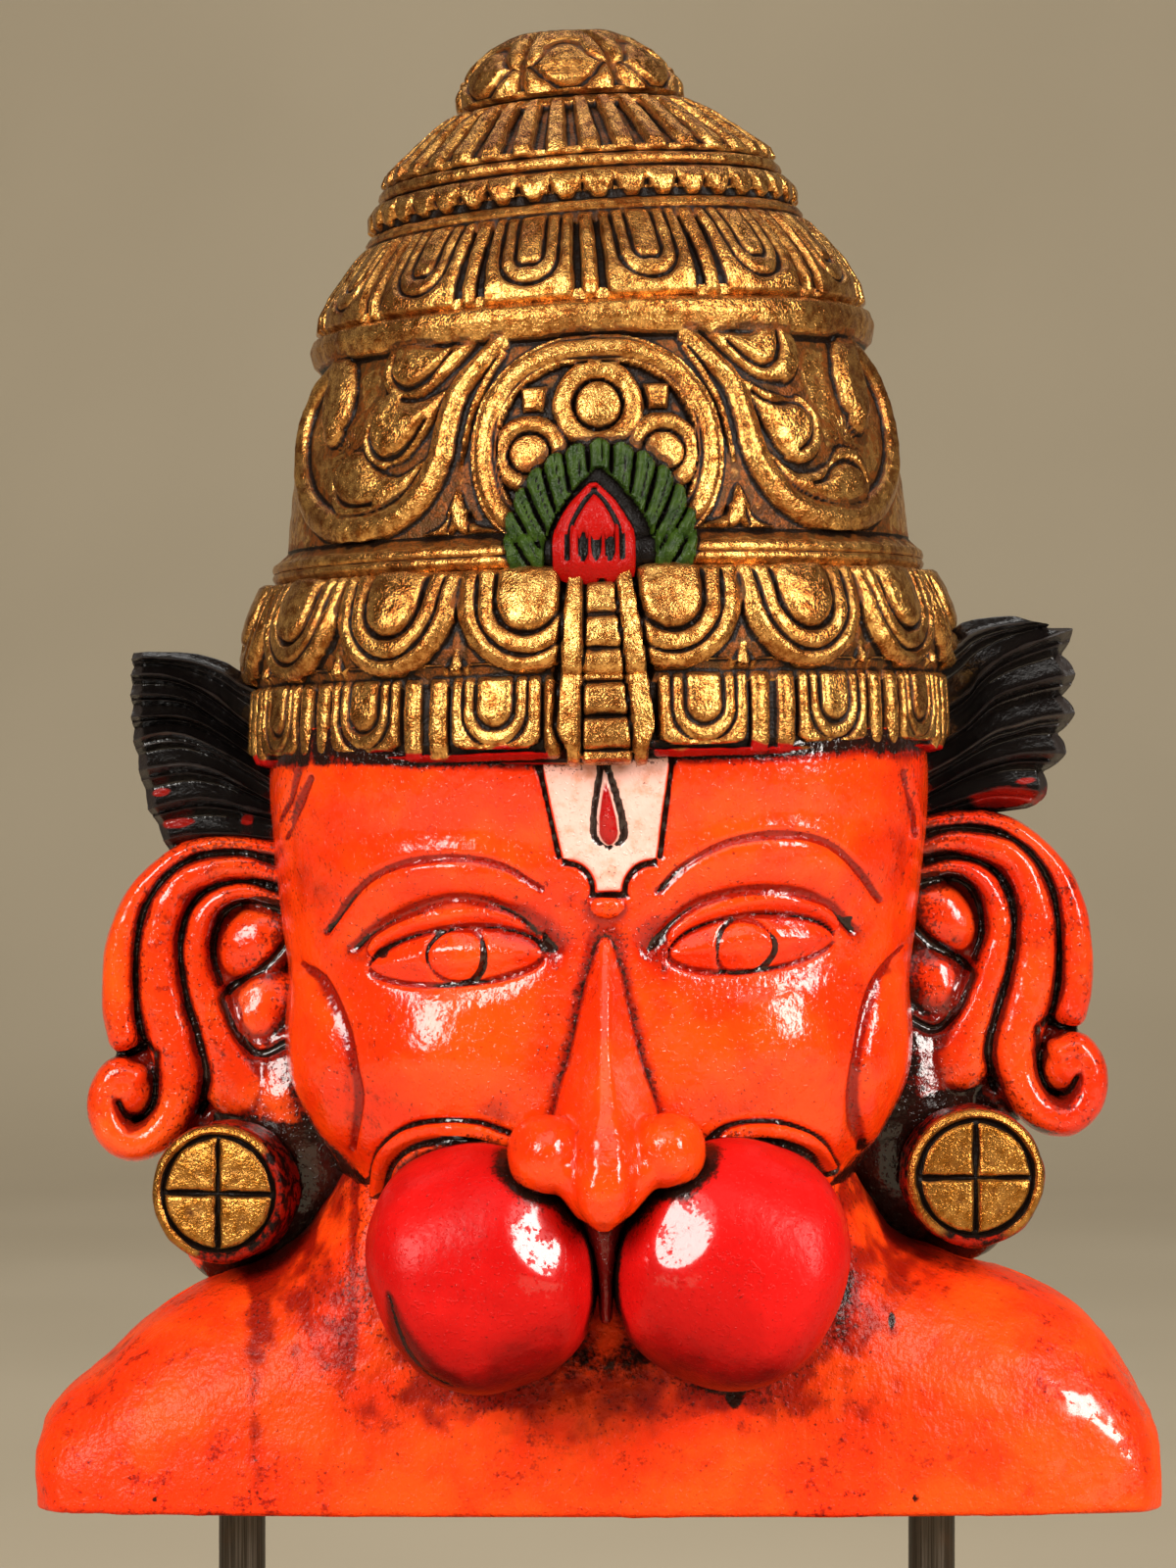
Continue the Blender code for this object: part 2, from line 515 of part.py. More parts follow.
TUFT_BLADES = {
    -1: [[(64, 170), (78, 178.6), (90, 180.6), (101, 178.4)], [(64, 163), (78, 172.8), (90, 175), (101.4, 172)],
         [(64, 157), (78, 166.4), (90, 168.6), (101.2, 165.6)], [(64, 151), (78, 160), (90, 161.6), (100.4, 159.2)],
         [(64, 145), (78, 153.4), (90, 154.4), (98.6, 152.6)], [(66, 140), (77, 147), (87, 147.6), (95.4, 146)]],
    1: [[(62, 170), (74, 180.4), (84, 185.6), (92, 187.6)], [(64, 163), (78, 175.4), (90, 182), (100, 184)],
        [(64, 157), (78, 168), (91, 173.4), (101, 174.4)], [(64, 151), (78, 160.6), (91, 165), (100.8, 165.4)],
        [(64, 146), (78, 153.6), (90, 156.6), (98.4, 156.4)], [(68, 142.6), (79, 147.2), (87, 149.2), (93.6, 148.6)]],
}
TUFT_TIP = 1.6
EARRING_PLACES = {-1: (79.6, 66.4, 12.0), 1: (79.8, 69.8, 4.0)}
EARRING_RADIUS = 15.0


def ear_forms(side):
    """The bands, curl, lobe and backing of one ear."""
    lift = RIGHT_EAR_LIFT if side > 0 else 0.0
    shift = RIGHT_EAR_SHIFT if side > 0 else 0.0
    forms = []
    for points, widths, thickness in EAR_BANDS:
        placed = [(side * (across + shift), up + lift) for across, up in points]
        forms.append(strand_rows(placed, widths, 6.5, thickness))
    for (across, deep, up), radii, tilt in EAR_PADS:
        forms.append(ellipsoid_rows((side * (across + shift), deep, up + lift), radii, side * tilt, 18))
    return forms


def tuft_rows(side):
    """A fan of hair above one ear: blades side by side, each with a crest and a rounded tip."""
    blades = []
    for points in TUFT_BLADES[side]:
        blades.append(resample(smooth_path(points, 6), 1.0)[:, :2])
    count = 40
    places = np.linspace(0.0, 1.0, count)
    lines = np.array([[np.interp(places * (len(blade) - 1), range(len(blade)), blade[:, k]) for k in range(2)]
                      for blade in blades])
    rows = []
    for crest in np.linspace(-0.48, len(blades) - 0.52, 10 * len(blades)):
        nearest = int(np.clip(round(crest), 0, len(blades) - 1))
        off = crest - nearest
        low = int(np.clip(math.floor(crest), 0, len(blades) - 2))
        line = lines[low] + (lines[low + 1] - lines[low]) * (crest - low)
        heading = line[:, -1] - line[:, -5]
        heading = heading / np.hypot(*heading)
        tip = TUFT_TIP * (1 - (2 * off) ** 2)
        line = line + heading[:, None] * tip * ramp(0.6, 1.0, places)
        depth = 8.5 + 3.2 * (1 - abs(2 * off)) ** 0.8 * ramp(-0.2, 0.5, places) - 2.0 * ramp(0.86, 1.0, places)
        rows.append(np.column_stack([side * line[0], depth, line[1]]))
    return with_flat_back(np.array(rows))


def earring_rows(side):
    """A thick disc with a raised rim and a cross cut in its face."""
    across, level, turned = EARRING_PLACES[side]
    edge = EARRING_RADIUS
    outline = [(edge * 0.75, -1.0), (edge * 0.8, 14.0), (edge, 16.0), (edge, 27.5), (edge - 1.2, 29.0)]
    outline = resample(np.array(outline + [(edge - 3.0, 29.0), (edge - 14.4, 29.4)]), 0.8)
    turn = np.linspace(0.0, 2 * math.pi, 64, endpoint=False)[None, :]
    radius = outline[:, 0][:, None]
    depth = outline[:, 1][:, None] + 0 * turn
    face = ramp(27.0, 28.6, depth)
    cross = np.minimum(np.abs(radius * np.cos(turn)), np.abs(radius * np.sin(turn)))
    cut = groove(radius - 11.6, 0.9) + groove(cross, 0.8) * (radius < 11.6)
    depth = depth - 1.3 * np.minimum(cut, 1.0) * face
    lean = math.radians(turned) * side
    first = radius * np.cos(turn)
    up = level + radius * np.sin(turn)
    middle = 20.0
    placed_x = side * across + first * math.cos(lean) + (depth - middle) * math.sin(lean)
    placed_d = middle + (depth - middle) * math.cos(lean) - first * math.sin(lean)
    return np.stack([placed_x, placed_d, up + 0 * first], axis=2)


BALLS = [((-24.0, 58.0, 54.2), (22.9, 31.0, 26.2), 22), ((27.4, 58.0, 54.8), (23.6, 31.0, 26.2), -24)]
BALL_FULLNESS = 0.86


def carving_forms():
    """Every form of the carving, as rows of closed loops."""
    forms = [crown_rows(FORM_STEP), head_rows(FORM_STEP), chest_rows(FORM_STEP)]
    for centre, radii, tilt in BALLS:
        forms.append(ellipsoid_rows(centre, radii, tilt, 30, BALL_FULLNESS))
    for side in (-1, 1):
        forms.extend(ear_forms(side))
        forms.append(tuft_rows(side))
        forms.append(earring_rows(side))
    return forms


def to_world(points):
    """Carver's units to metres, with the flat back behind the foot's middle."""
    across, depth, up = np.moveaxis(points * UNIT, -1, 0)
    return np.stack([across, BACK_BEHIND_CENTRE - depth, BUST_FOOT + up], axis=-1)


def add_skin(mesh_data, rows):
    """Join rows of closed loops into one closed skin that faces outwards."""
    count, around = rows.shape[:2]
    corners = [mesh_data.verts.new(point) for point in to_world(rows).reshape(-1, 3)]
    faces = []
    for row in range(count - 1):
        here = row * around
        for column in range(around):
            beside = (column + 1) % around
            ring = (here + column, here + beside, here + around + beside, here + around + column)
            faces.append(mesh_data.faces.new([corners[k] for k in ring]))
    faces.append(mesh_data.faces.new(corners[:around][::-1]))
    faces.append(mesh_data.faces.new(corners[-around:]))
    volume = 0.0
    for face in faces:
        first = face.verts[0].co
        for second, third in zip(face.verts[1:-1], face.verts[2:]):
            volume += first.dot(second.co.cross(third.co))
    if volume < 0:
        bmesh.ops.reverse_faces(mesh_data, faces=faces)


def new_object(name, mesh_data, material):
    """A named object with one mesh and one material."""
    mesh = bpy.data.meshes.new(name)
    mesh_data.to_mesh(mesh)
    mesh_data.free()
    thing = bpy.data.objects.new(name, mesh)
    bpy.context.collection.objects.link(thing)
    if material:
        mesh.materials.append(material)
    return thing


def new_material(name, colour, roughness, metallic):
    """A Principled material."""
    material = bpy.data.materials.new(name)
    material.use_nodes = True
    shader = material.node_tree.nodes["Principled BSDF"]
    shader.inputs["Base Color"].default_value = (*colour, 1.0)
    shader.inputs["Roughness"].default_value = roughness
    shader.inputs["Metallic"].default_value = metallic
    return material


def add_box(mesh_data, low, high):
    """A box between two corners."""
    made = bmesh.ops.create_cube(mesh_data, size=1.0)
    for corner in made["verts"]:
        for axis in range(3):
            corner.co[axis] = low[axis] if corner.co[axis] < 0 else high[axis]
    return made["verts"]


def add_rod(mesh_data, radius, across, low, high, sides=24):
    """An upright round bar."""
    made = bmesh.ops.create_cone(mesh_data, cap_ends=True, segments=sides, radius1=radius, radius2=radius,
                                 depth=high - low)
    bmesh.ops.translate(mesh_data, verts=made["verts"], vec=(across, rod_y(), (low + high) / 2))
    return made["verts"]


def rod_x(side):
    """Where a rod stands, across the foot: the pair was drilled a little to the viewer's left."""
    return side * ROD_SPACING / 2 + ROD_SHIFT


def rod_y():
    """Where the rods stand, front to back."""
    return BACK_BEHIND_CENTRE - ROD_DEPTH


def add_cutter(name, mesh_data):
    """A shape that only cuts."""
    cutter = new_object(name, mesh_data, None)
    cutter.hide_render = True
    cutter.display_type = "WIRE"
    return cutter


def cut_with(thing, cutter):
    """Take one shape away from another."""
    modifier = thing.modifiers.new(cutter.name, "BOOLEAN")
    modifier.operation = "DIFFERENCE"
    modifier.solver = "EXACT"
    modifier.object = cutter


def evaluated_mesh(thing, name):
    """A copy of an object's mesh with its modifiers worked out."""
    graph = bpy.context.evaluated_depsgraph_get()
    return bpy.data.meshes.new_from_object(thing.evaluated_get(graph), depsgraph=graph)


def build_bust(material):
    """Fuse the carving's forms, thin the skin, and cut it flat behind and below."""
    mesh_data = bmesh.new()
    for rows in carving_forms():
        add_skin(mesh_data, rows)
    rough = new_object("rough_carving", mesh_data, None)
    fuse = rough.modifiers.new("fuse", "REMESH")
    fuse.mode = "VOXEL"
    fuse.voxel_size = FUSE_CELL
    fused = evaluated_mesh(rough, "bust")
    bpy.data.objects.remove(rough)
    bust = bpy.data.objects.new("bust", fused)
    bpy.context.collection.objects.link(bust)
    fused.materials.clear()
    fused.materials.append(material)
    thin = bust.modifiers.new("thin", "DECIMATE")
    thin.ratio = CARVING_TRIANGLES / (2 * len(fused.polygons))
    reach = BUST_HEIGHT
    waste = bmesh.new()
    add_box(waste, (-reach, BACK_BEHIND_CENTRE, 0.0), (reach, BACK_BEHIND_CENTRE + reach, BUST_FOOT + 2 * reach))
    cut_with(bust, add_cutter("waste_behind", waste))
    waste = bmesh.new()
    add_box(waste, (-reach, -reach, BUST_FOOT - reach), (reach, reach, BUST_FOOT))
    cut_with(bust, add_cutter("waste_below", waste))
    holes = bmesh.new()
    for side in (-1, 1):
        add_rod(holes, ROD_DIAMETER / 2 + FIT_GAP, rod_x(side), BUST_FOOT - ROD_DIAMETER, BUST_FOOT + BUST_SOCKET_DEPTH)
    cut_with(bust, add_cutter("bust_sockets", holes))
    return bust


def build_rods(material):
    """The two steel rods, each with a bevelled end in each socket."""
    for name, side in (("rod_left", -1), ("rod_right", 1)):
        mesh_data = bmesh.new()
        low = BASE_TOP - BASE_SOCKET_DEPTH + FIT_GAP
        high = BUST_FOOT + BUST_SOCKET_DEPTH - FIT_GAP
        add_rod(mesh_data, ROD_DIAMETER / 2, rod_x(side), low, high)
        rims = [edge for edge in mesh_data.edges if abs(edge.verts[0].co.z - edge.verts[1].co.z) < 1e-6]
        bmesh.ops.bevel(mesh_data, geom=rims, offset=ROD_DIAMETER / 12, segments=1, affect="EDGES")
        rod = new_object(name, mesh_data, material)
        rod.data.shade_smooth()
        rod.data.set_sharp_from_angle(angle=math.radians(35))


def build_base(material):
    """The wooden foot, with rounded edges and a socket for each rod."""
    mesh_data = bmesh.new()
    half_length = BASE_LENGTH / 2
    half_width = BASE_WIDTH / 2
    add_box(mesh_data, (-half_length, -half_width, 0.0), (half_length, half_width, BASE_TOP))
    edges = [edge for edge in mesh_data.edges if max(v.co.z for v in edge.verts) > BASE_TOP / 2]
    bmesh.ops.bevel(mesh_data, geom=edges, offset=BASE_EDGE_ROUND, segments=2, profile=0.5, affect="EDGES")
    base = new_object("base", mesh_data, material)
    base.data.shade_smooth()
    base.data.set_sharp_from_angle(angle=math.radians(35))
    holes = bmesh.new()
    for side in (-1, 1):
        add_rod(holes, ROD_DIAMETER / 2 + FIT_GAP, rod_x(side), BASE_TOP - BASE_SOCKET_DEPTH, BASE_TOP + ROD_DIAMETER)
    cut_with(base, add_cutter("base_sockets", holes))


def build():
    """Clear the scene and build every piece."""
    for thing in list(bpy.data.objects):
        bpy.data.objects.remove(thing, do_unlink=True)
    build_bust(new_material("painted_wood", (0.85, 0.13, 0.02), 0.28, 0.0))
    build_rods(new_material("steel", (0.32, 0.30, 0.28), 0.35, 1.0))
    build_base(new_material("stained_wood", (0.09, 0.045, 0.022), 0.5, 0.0))


build()
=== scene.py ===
# %% [markdown]
# # A painted wooden Hanuman bust on two steel rods
# The real piece is one block of carved wood: a tiered gilt crown, an orange face, two red ball
# cheeks, curled ears, tufts of black hair and disc earrings on a pair of shoulders. The CAD model
# already holds its size and main forms, and this lesson gives it the fine carving and the paint.
# The first step loads that model, which stays where it is all the way through.

# %% Load the packed model
import math

import bpy
import numpy as np
from mathutils.bvhtree import BVHTree
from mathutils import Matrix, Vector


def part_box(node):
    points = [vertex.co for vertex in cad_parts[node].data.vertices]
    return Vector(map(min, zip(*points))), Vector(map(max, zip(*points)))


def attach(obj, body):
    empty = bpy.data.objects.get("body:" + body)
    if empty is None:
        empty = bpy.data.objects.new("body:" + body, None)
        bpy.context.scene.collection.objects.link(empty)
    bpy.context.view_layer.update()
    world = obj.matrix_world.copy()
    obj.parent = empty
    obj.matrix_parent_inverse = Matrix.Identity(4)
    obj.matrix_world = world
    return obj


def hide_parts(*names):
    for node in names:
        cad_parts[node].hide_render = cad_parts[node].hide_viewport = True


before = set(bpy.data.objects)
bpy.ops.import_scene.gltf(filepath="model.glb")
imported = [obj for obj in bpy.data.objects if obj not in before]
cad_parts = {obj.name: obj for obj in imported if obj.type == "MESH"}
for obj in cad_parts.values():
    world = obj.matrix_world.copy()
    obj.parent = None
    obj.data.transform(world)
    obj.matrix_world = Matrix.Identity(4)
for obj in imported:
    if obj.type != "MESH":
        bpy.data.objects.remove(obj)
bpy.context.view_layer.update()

# %% [markdown]
# A carver marks a block with three measurements: how far across, how deep from the flat back, and
# how far up from the cut underside. All the shapes below are drawn that way, in millimetres, and
# one small function turns them into places in the scene. The back and the underside come from the
# CAD bust, so nothing has to be fitted by eye.

# %% Carver's measurements
MM = 0.001
bust_low, bust_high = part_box("bust")
BACK = bust_high[1] / MM
FOOT = bust_low[2] / MM


def to_world(points):
    """Across, depth and height in millimetres to places in metres."""
    across, depth, up = np.moveaxis(np.asarray(points, dtype=float), -1, 0)
    return np.stack([across, BACK - depth, FOOT + up], axis=-1) * MM


def to_carver(places):
    """Places in metres to across, depth and height in millimetres."""
    x, y, z = np.moveaxis(np.asarray(places) / MM, -1, 0)
    return x, BACK - y, z - FOOT


print("The flat back is at y =", round(BACK, 2), "mm and the underside at z =", round(FOOT, 2), "mm")

# %% [markdown]
# The photograph was taken level with the brow, straight on, with a long lens, so the crown's tiers
# hardly curve. The camera comes before the modelling because every piece is judged through it.

# %% Camera
CAMERA_PLACE = (-2.36, 1032.0, 153.8)
LENS_LENGTH, SENSOR_WIDTH = 108.0, 36.0
camera = bpy.data.objects.new("camera", bpy.data.cameras.new("camera"))
bpy.context.scene.collection.objects.link(camera)
camera.location = to_world(CAMERA_PLACE)
camera.rotation_euler = (math.radians(90), 0.0, 0.0)
camera.data.lens = LENS_LENGTH
camera.data.sensor_width = SENSOR_WIDTH
bpy.context.scene.camera = camera
print("Camera at", [round(v, 3) for v in camera.location])

# %% [markdown]
# The studio is a floor that turns up into a wall in one sweep, so no horizon line shows behind the
# bust. A grid is added, its rear part is turned up round a quarter circle, and it is shaded smooth.
# The wall stands well behind the bust, so that a camera behind the bust still has room.

# %% Sweep
SWEEP_SIZE, SWEEP_COLUMNS, SWEEP_ROWS = 8.0, 8, 120
SWEEP_RADIUS = 0.8
SWEEP_REAR = 2.2


def pick_nothing():
    """Leave edit mode and select nothing, because an operator acts on all that is selected."""
    if bpy.context.object and bpy.context.object.mode == "EDIT":
        bpy.ops.object.mode_set(mode="OBJECT")
    bpy.ops.object.select_all(action="DESELECT")


pick_nothing()
bpy.ops.mesh.primitive_grid_add(x_subdivisions=SWEEP_COLUMNS, y_subdivisions=SWEEP_ROWS, size=SWEEP_SIZE)
backdrop = bpy.context.object
backdrop.name = "backdrop"
for vertex in backdrop.data.vertices:
    past = vertex.co.y - SWEEP_REAR
    if past > 0:
        turn = min(past / SWEEP_RADIUS, math.pi / 2)
        rest = past - turn * SWEEP_RADIUS
        vertex.co.y = SWEEP_REAR + SWEEP_RADIUS * math.sin(turn)
        vertex.co.z = SWEEP_RADIUS * (1 - math.cos(turn)) + max(rest, 0.0)
bpy.ops.object.shade_smooth()
print("Sweep:", len(backdrop.data.vertices), "points")

# %% [markdown]
# Gloss paint shows the lights themselves. A square soft box on the left and a tall one on the right
# give the cheeks and the red balls their pale patches, a dim overhead light fills in, and one more
# light is kept for the wall. They are listed by name, place, size, power, colour and aim.

# %% Lights
BUST_MIDDLE, WALL_MIDDLE = (0.0, -0.03, 0.27), (0.0, 2.6, 0.3)
LIGHTS = [
    ("softbox_left", (-0.70, -0.92, 0.74), (0.54, 0.54), 17.0, (1.0, 0.96, 0.90), BUST_MIDDLE),
    ("softbox_right", (0.92, -0.80, 0.76), (0.32, 0.80), 20.0, (1.0, 0.96, 0.90), BUST_MIDDLE),
    ("overhead", (0.0, -0.90, 1.60), (1.4, 0.9), 6.0, (1.0, 0.97, 0.92), BUST_MIDDLE),
    ("backdrop_light", (0.0, 0.9, 2.0), (2.2, 0.6), 26.0, (1.0, 0.98, 0.95), WALL_MIDDLE),
]
ROOM_COLOUR, ROOM_STRENGTH = (0.60, 0.52, 0.42, 1.0), 0.10


def add_light(name, place, size, power, colour, aim):
    """A rectangular light that faces the place it is aimed at."""
    light = bpy.data.lights.new(name, "AREA")
    light.shape = "RECTANGLE"
    light.size, light.size_y = size
    light.energy = power
    light.color = colour
    lamp = bpy.data.objects.new(name, light)
    bpy.context.scene.collection.objects.link(lamp)
    lamp.location = place
    toward = np.array(aim) - np.array(place)
    tip = math.atan2(math.hypot(toward[0], toward[1]), -toward[2])
    lamp.rotation_euler = (tip, 0.0, math.atan2(toward[1], toward[0]) - math.pi / 2)


for light in LIGHTS:
    add_light(*light)
world = bpy.data.worlds.new("studio")
world.use_nodes = True
room = world.node_tree.nodes["Background"]
room.inputs["Color"].default_value = ROOM_COLOUR
room.inputs["Strength"].default_value = ROOM_STRENGTH
bpy.context.scene.world = world
bpy.context.scene.view_settings.view_transform = "Standard"
print("Lights:", [name for name, *rest in LIGHTS])

# %% [markdown]
# Low relief is easier to write than to push about by hand. Three profiles are enough for nearly all
# of it: a soft step, the bell curve of a gouge stroke, and the half circle of a rounded rib.

# %% Profiles


def ramp(low, high, value):
    """Rise smoothly from 0 at low to 1 at high."""
    share = np.clip((value - low) / (high - low), 0.0, 1.0)
    return share * share * (3.0 - 2.0 * share)


def groove(distance, width):
    """A rounded cut, 1 deep on its line."""
    return np.exp(-((distance / width) ** 2))


def dome(distance, radius):
    """A round swelling, 1 high in the middle and 0 at its radius."""
    return np.sqrt(np.clip(1.0 - (distance / radius) ** 2, 0.0, 1.0))


print("A 1 mm groove, 1 mm off its line, is still", round(float(groove(1.0, 1.0)), 2), "of its depth")

# %% [markdown]
# Every carved form starts as Blender's flat grid. The grid's points are laid on rows of the form,
# as a sheet of gold leaf is laid on wood, and then edit mode does the joinery: doubles are merged
# along the seam, the open ends are filled, and the normals are made to point outwards. Named marks
# are stored on the points while their drawing is still at hand, so that the paint can find them.

# %% Sheet maker
SEAM_GAP = 0.000004


def pick(*pieces):
    """Select these pieces and make the first one active."""
    pick_nothing()
    for piece in pieces:
        piece.select_set(True)
    bpy.context.view_layer.objects.active = pieces[0]


def read_places(piece):
    """The places of a piece's points, as numbers."""
    places = np.empty(len(piece.data.vertices) * 3)
    piece.data.vertices.foreach_get("co", places)
    return places.reshape(-1, 3)


def write_places(piece, places):
    """Put a piece's points at these places."""
    piece.data.vertices.foreach_set("co", places.ravel())
    piece.data.update()


def mark(piece, name, values):
    """Store one number on each point, for the paint to read."""
    attribute = piece.data.attributes.get(name) or piece.data.attributes.new(name, "FLOAT", "POINT")
    attribute.data.foreach_set("value", np.ascontiguousarray(np.ravel(values), dtype=np.float32))


def close_up(piece, sharp):
    """Merge the seam, fill the ends, turn the faces outwards and smooth all but sharp edges."""
    pick(piece)
    bpy.ops.object.mode_set(mode="EDIT")
    bpy.ops.mesh.select_all(action="SELECT")
    bpy.ops.mesh.remove_doubles(threshold=SEAM_GAP)
    bpy.ops.mesh.select_all(action="SELECT")
    bpy.ops.mesh.fill_holes(sides=0)
    bpy.ops.mesh.select_all(action="SELECT")
    bpy.ops.mesh.normals_make_consistent(inside=False)
    bpy.ops.object.mode_set(mode="OBJECT")
    bpy.ops.object.shade_smooth_by_angle(angle=math.radians(sharp))


def lay_sheet(name, rows, marks=None, sharp=50.0):
    """A closed form from rows of closed loops, begun as a flat grid."""
    wrapped = np.concatenate([rows, rows[:, :1]], axis=1)
    count, around = wrapped.shape[:2]
    pick_nothing()
    bpy.ops.mesh.primitive_grid_add(x_subdivisions=around - 1, y_subdivisions=count - 1, size=1.0)
    piece = bpy.context.object
    piece.name = piece.data.name = name
    write_places(piece, to_world(wrapped))
    for label, values in (marks or {}).items():
        values = np.broadcast_to(values, rows.shape[:2])
        mark(piece, label, np.concatenate([values, values[:, :1]], axis=1))
    close_up(piece, sharp)
    return piece


print("Seams closer than", SEAM_GAP / MM, "mm are merged")

# %% [markdown]
# The crown is a turned shape with carving on it, so its outline is drawn once, as radius and height.
# It is made as three rings, split at creases, so that each stays a manageable mesh.

# %% Crown outline
CROWN_FOOT, CROWN_TIP = 159.0, 316.3
LEAF_FOOT, RING_FOOT, DRUM_FOOT, DRUM_TOP = 176.4, 198.4, 203.8, 247.6
PANEL_FOOT, PANEL_TOP, SKIRT_FOOT, BUD_FOOT = 254.2, 273.6, 286.4, 301.4
RIM_OUTLINE = [
    (73.0, 159.0), (75.8, 159.6), (76.8, 162.0), (76.9, 169.0), (76.3, 175.4), (74.6, 176.4), (77.2, 177.6),
    (77.6, 182.0), (76.6, 188.0), (74.4, 193.6), (72.4, 197.6), (70.4, 198.4), (64.0, 198.5),
]
DRUM_OUTLINE = [
    (64.0, 196.6), (70.2, 198.4), (71.2, 199.8), (71.5, 201.2), (71.0, 202.8), (69.6, 203.8), (70.2, 205.6),
    (69.8, 210.0), (68.4, 221.0), (66.4, 231.0), (63.6, 241.0), (61.0, 247.6), (61.4, 249.0), (61.8, 251.0),
    (61.0, 253.2), (59.0, 254.2), (54.0, 254.3),
]
TOP_OUTLINE = [
    (54.0, 252.6), (58.8, 254.2), (60.2, 255.4), (59.6, 259.0), (57.0, 263.6), (52.6, 269.4), (49.2, 273.0),
    (47.4, 273.6), (48.0, 274.6), (47.0, 275.9), (45.6, 276.4), (47.2, 277.6), (47.0, 280.6), (45.4, 282.6),
    (43.2, 283.2), (44.2, 284.4), (43.8, 285.8), (42.0, 286.4), (43.4, 287.4), (42.4, 289.6), (37.4, 293.6),
    (32.6, 297.6), (28.0, 300.6), (23.0, 301.4), (25.0, 302.6), (25.0, 305.4), (23.2, 309.2), (20.4, 312.4),
    (16.4, 315.4), (12.4, 317.2), (7.0, 318.2), (3.0, 318.4),
]
print("Crown outline:", len(RIM_OUTLINE) + len(DRUM_OUTLINE) + len(TOP_OUTLINE), "points")

# %% [markdown]
# The outline is swept through the half circle that shows in front of the flat back, and the carving
# lifts each point square to the outline. The carver's hand shows too: the crown leans a little to
# the left and its tiers climb to the right, so every ring is tilted by the same small rule.

# %% Turning a carved ring
CROWN_LEAN = -6.5
TIER_CLIMB = (1.4, 2.8)


def evenly(outline, step):
    """Points evenly spaced along an outline."""
    outline = np.array(outline, dtype=float)
    travelled = np.concatenate([[0.0], np.cumsum(np.hypot(*np.diff(outline, axis=0).T))])
    places = np.linspace(0.0, travelled[-1], max(int(travelled[-1] / step), 1) + 1)
    return np.column_stack([np.interp(places, travelled, outline[:, k]) for k in range(2)])


def tilt_by_hand(across, up):
    """The crown leans to the viewer's left, and its tiers climb a little to the right."""
    share = (up - CROWN_FOOT) / (CROWN_TIP - CROWN_FOOT)
    climb = np.radians(TIER_CLIMB[0] + TIER_CLIMB[1] * ramp(0.4, 0.744, share))
    lean = CROWN_LEAN * np.clip((share - 0.038) / 0.89, 0.0, 1.2) ** 3
    return across + lean, up + across * np.tan(climb)


def turned_ring(outline, step, relief):
    """Rows of a carved ring of the crown; relief gives its height at each angle and level."""
    outline = evenly(outline, step)
    slope = np.gradient(outline, axis=0)
    slope = slope / np.hypot(*slope.T)[:, None]
    columns = int(math.pi * outline[:, 0].max() / step)
    angle, radius = np.meshgrid(np.linspace(-90.0, 90.0, columns), outline[:, 0])
    up = np.broadcast_to(outline[:, 1][:, None], angle.shape)
    height = relief(angle, radius, up)
    reach = np.maximum(radius + height * slope[:, 1][:, None], 0.5)
    level = up - height * slope[:, 0][:, None]
    across, level = tilt_by_hand(reach * np.sin(np.radians(angle)), level)
    return np.stack([across, reach * np.cos(np.radians(angle)), level], axis=2), angle, radius, up


print("The crown leans", CROWN_LEAN, "mm, and its tiers climb by", TIER_CLIMB[0], "degrees and more")

# %% [markdown]
# The lowest tier is a row of square panels, each a U within a U with two ribs beside it, and above
# it hangs a row of broad leaves. One angle, repeated at the pitch of the real carving, draws every
# panel at once, as a carver steps a template round the rim.

# %% Panels and leaves of the rim
PANEL_STEPS, PANEL_SCALE = (16.4, 23.6), 1.34
LEAF_STEPS, LEAF_SCALE = (11.2, 23.3), 1.31
PANEL_CORNER = 164.0


def nearest_copy(turn, pitch):
    """How far a turn is from the middle of the nearest of the copies that are one pitch apart."""
    return (turn + pitch / 2) % pitch - pitch / 2


def mirrored_copy(angle, first, pitch):
    """The same for copies on both sides of the front, the first of them at the angle first."""
    return nearest_copy(np.abs(angle) - first, pitch)


def u_shape(across, up, half_width, foot):
    """The distance to the edge of a U that is open at the top, negative inside it."""
    centre = foot + half_width
    below = np.hypot(across, up - centre) - half_width
    return np.where(up > centre, np.abs(across) - half_width, below)


def rim_carving(angle, up):
    """Square panels, each a U within a U, with a pair of ribs between them."""
    across = mirrored_copy(angle, *PANEL_STEPS) * PANEL_SCALE
    corner = np.maximum(np.abs(across) - 6.6, 0) ** 2 + np.maximum(PANEL_CORNER - up, 0) ** 2
    edge = np.where(up < PANEL_CORNER, np.sqrt(corner) - 3.0, np.abs(across) - 9.6)
    cut = 1.0 * groove(u_shape(across, up, 7.0, 161.9), 0.55)
    channel = u_shape(across, up, 4.1, 165.6)
    cut = cut + 1.1 * groove(channel, 0.75) + 0.25 * ramp(2.6, 0.4, np.abs(channel - 1.5))
    ribs = 1.9 * dome(np.abs(across) - 12.7, 2.2) ** 0.7
    relief = np.where(edge < 0, -cut * (edge < -0.4) - 0.9 * ramp(-0.9, 0.0, edge), -1.9 + ribs)
    return relief * ramp(CROWN_FOOT, 160.2, up) * ramp(LEAF_FOOT, 175.6, up)


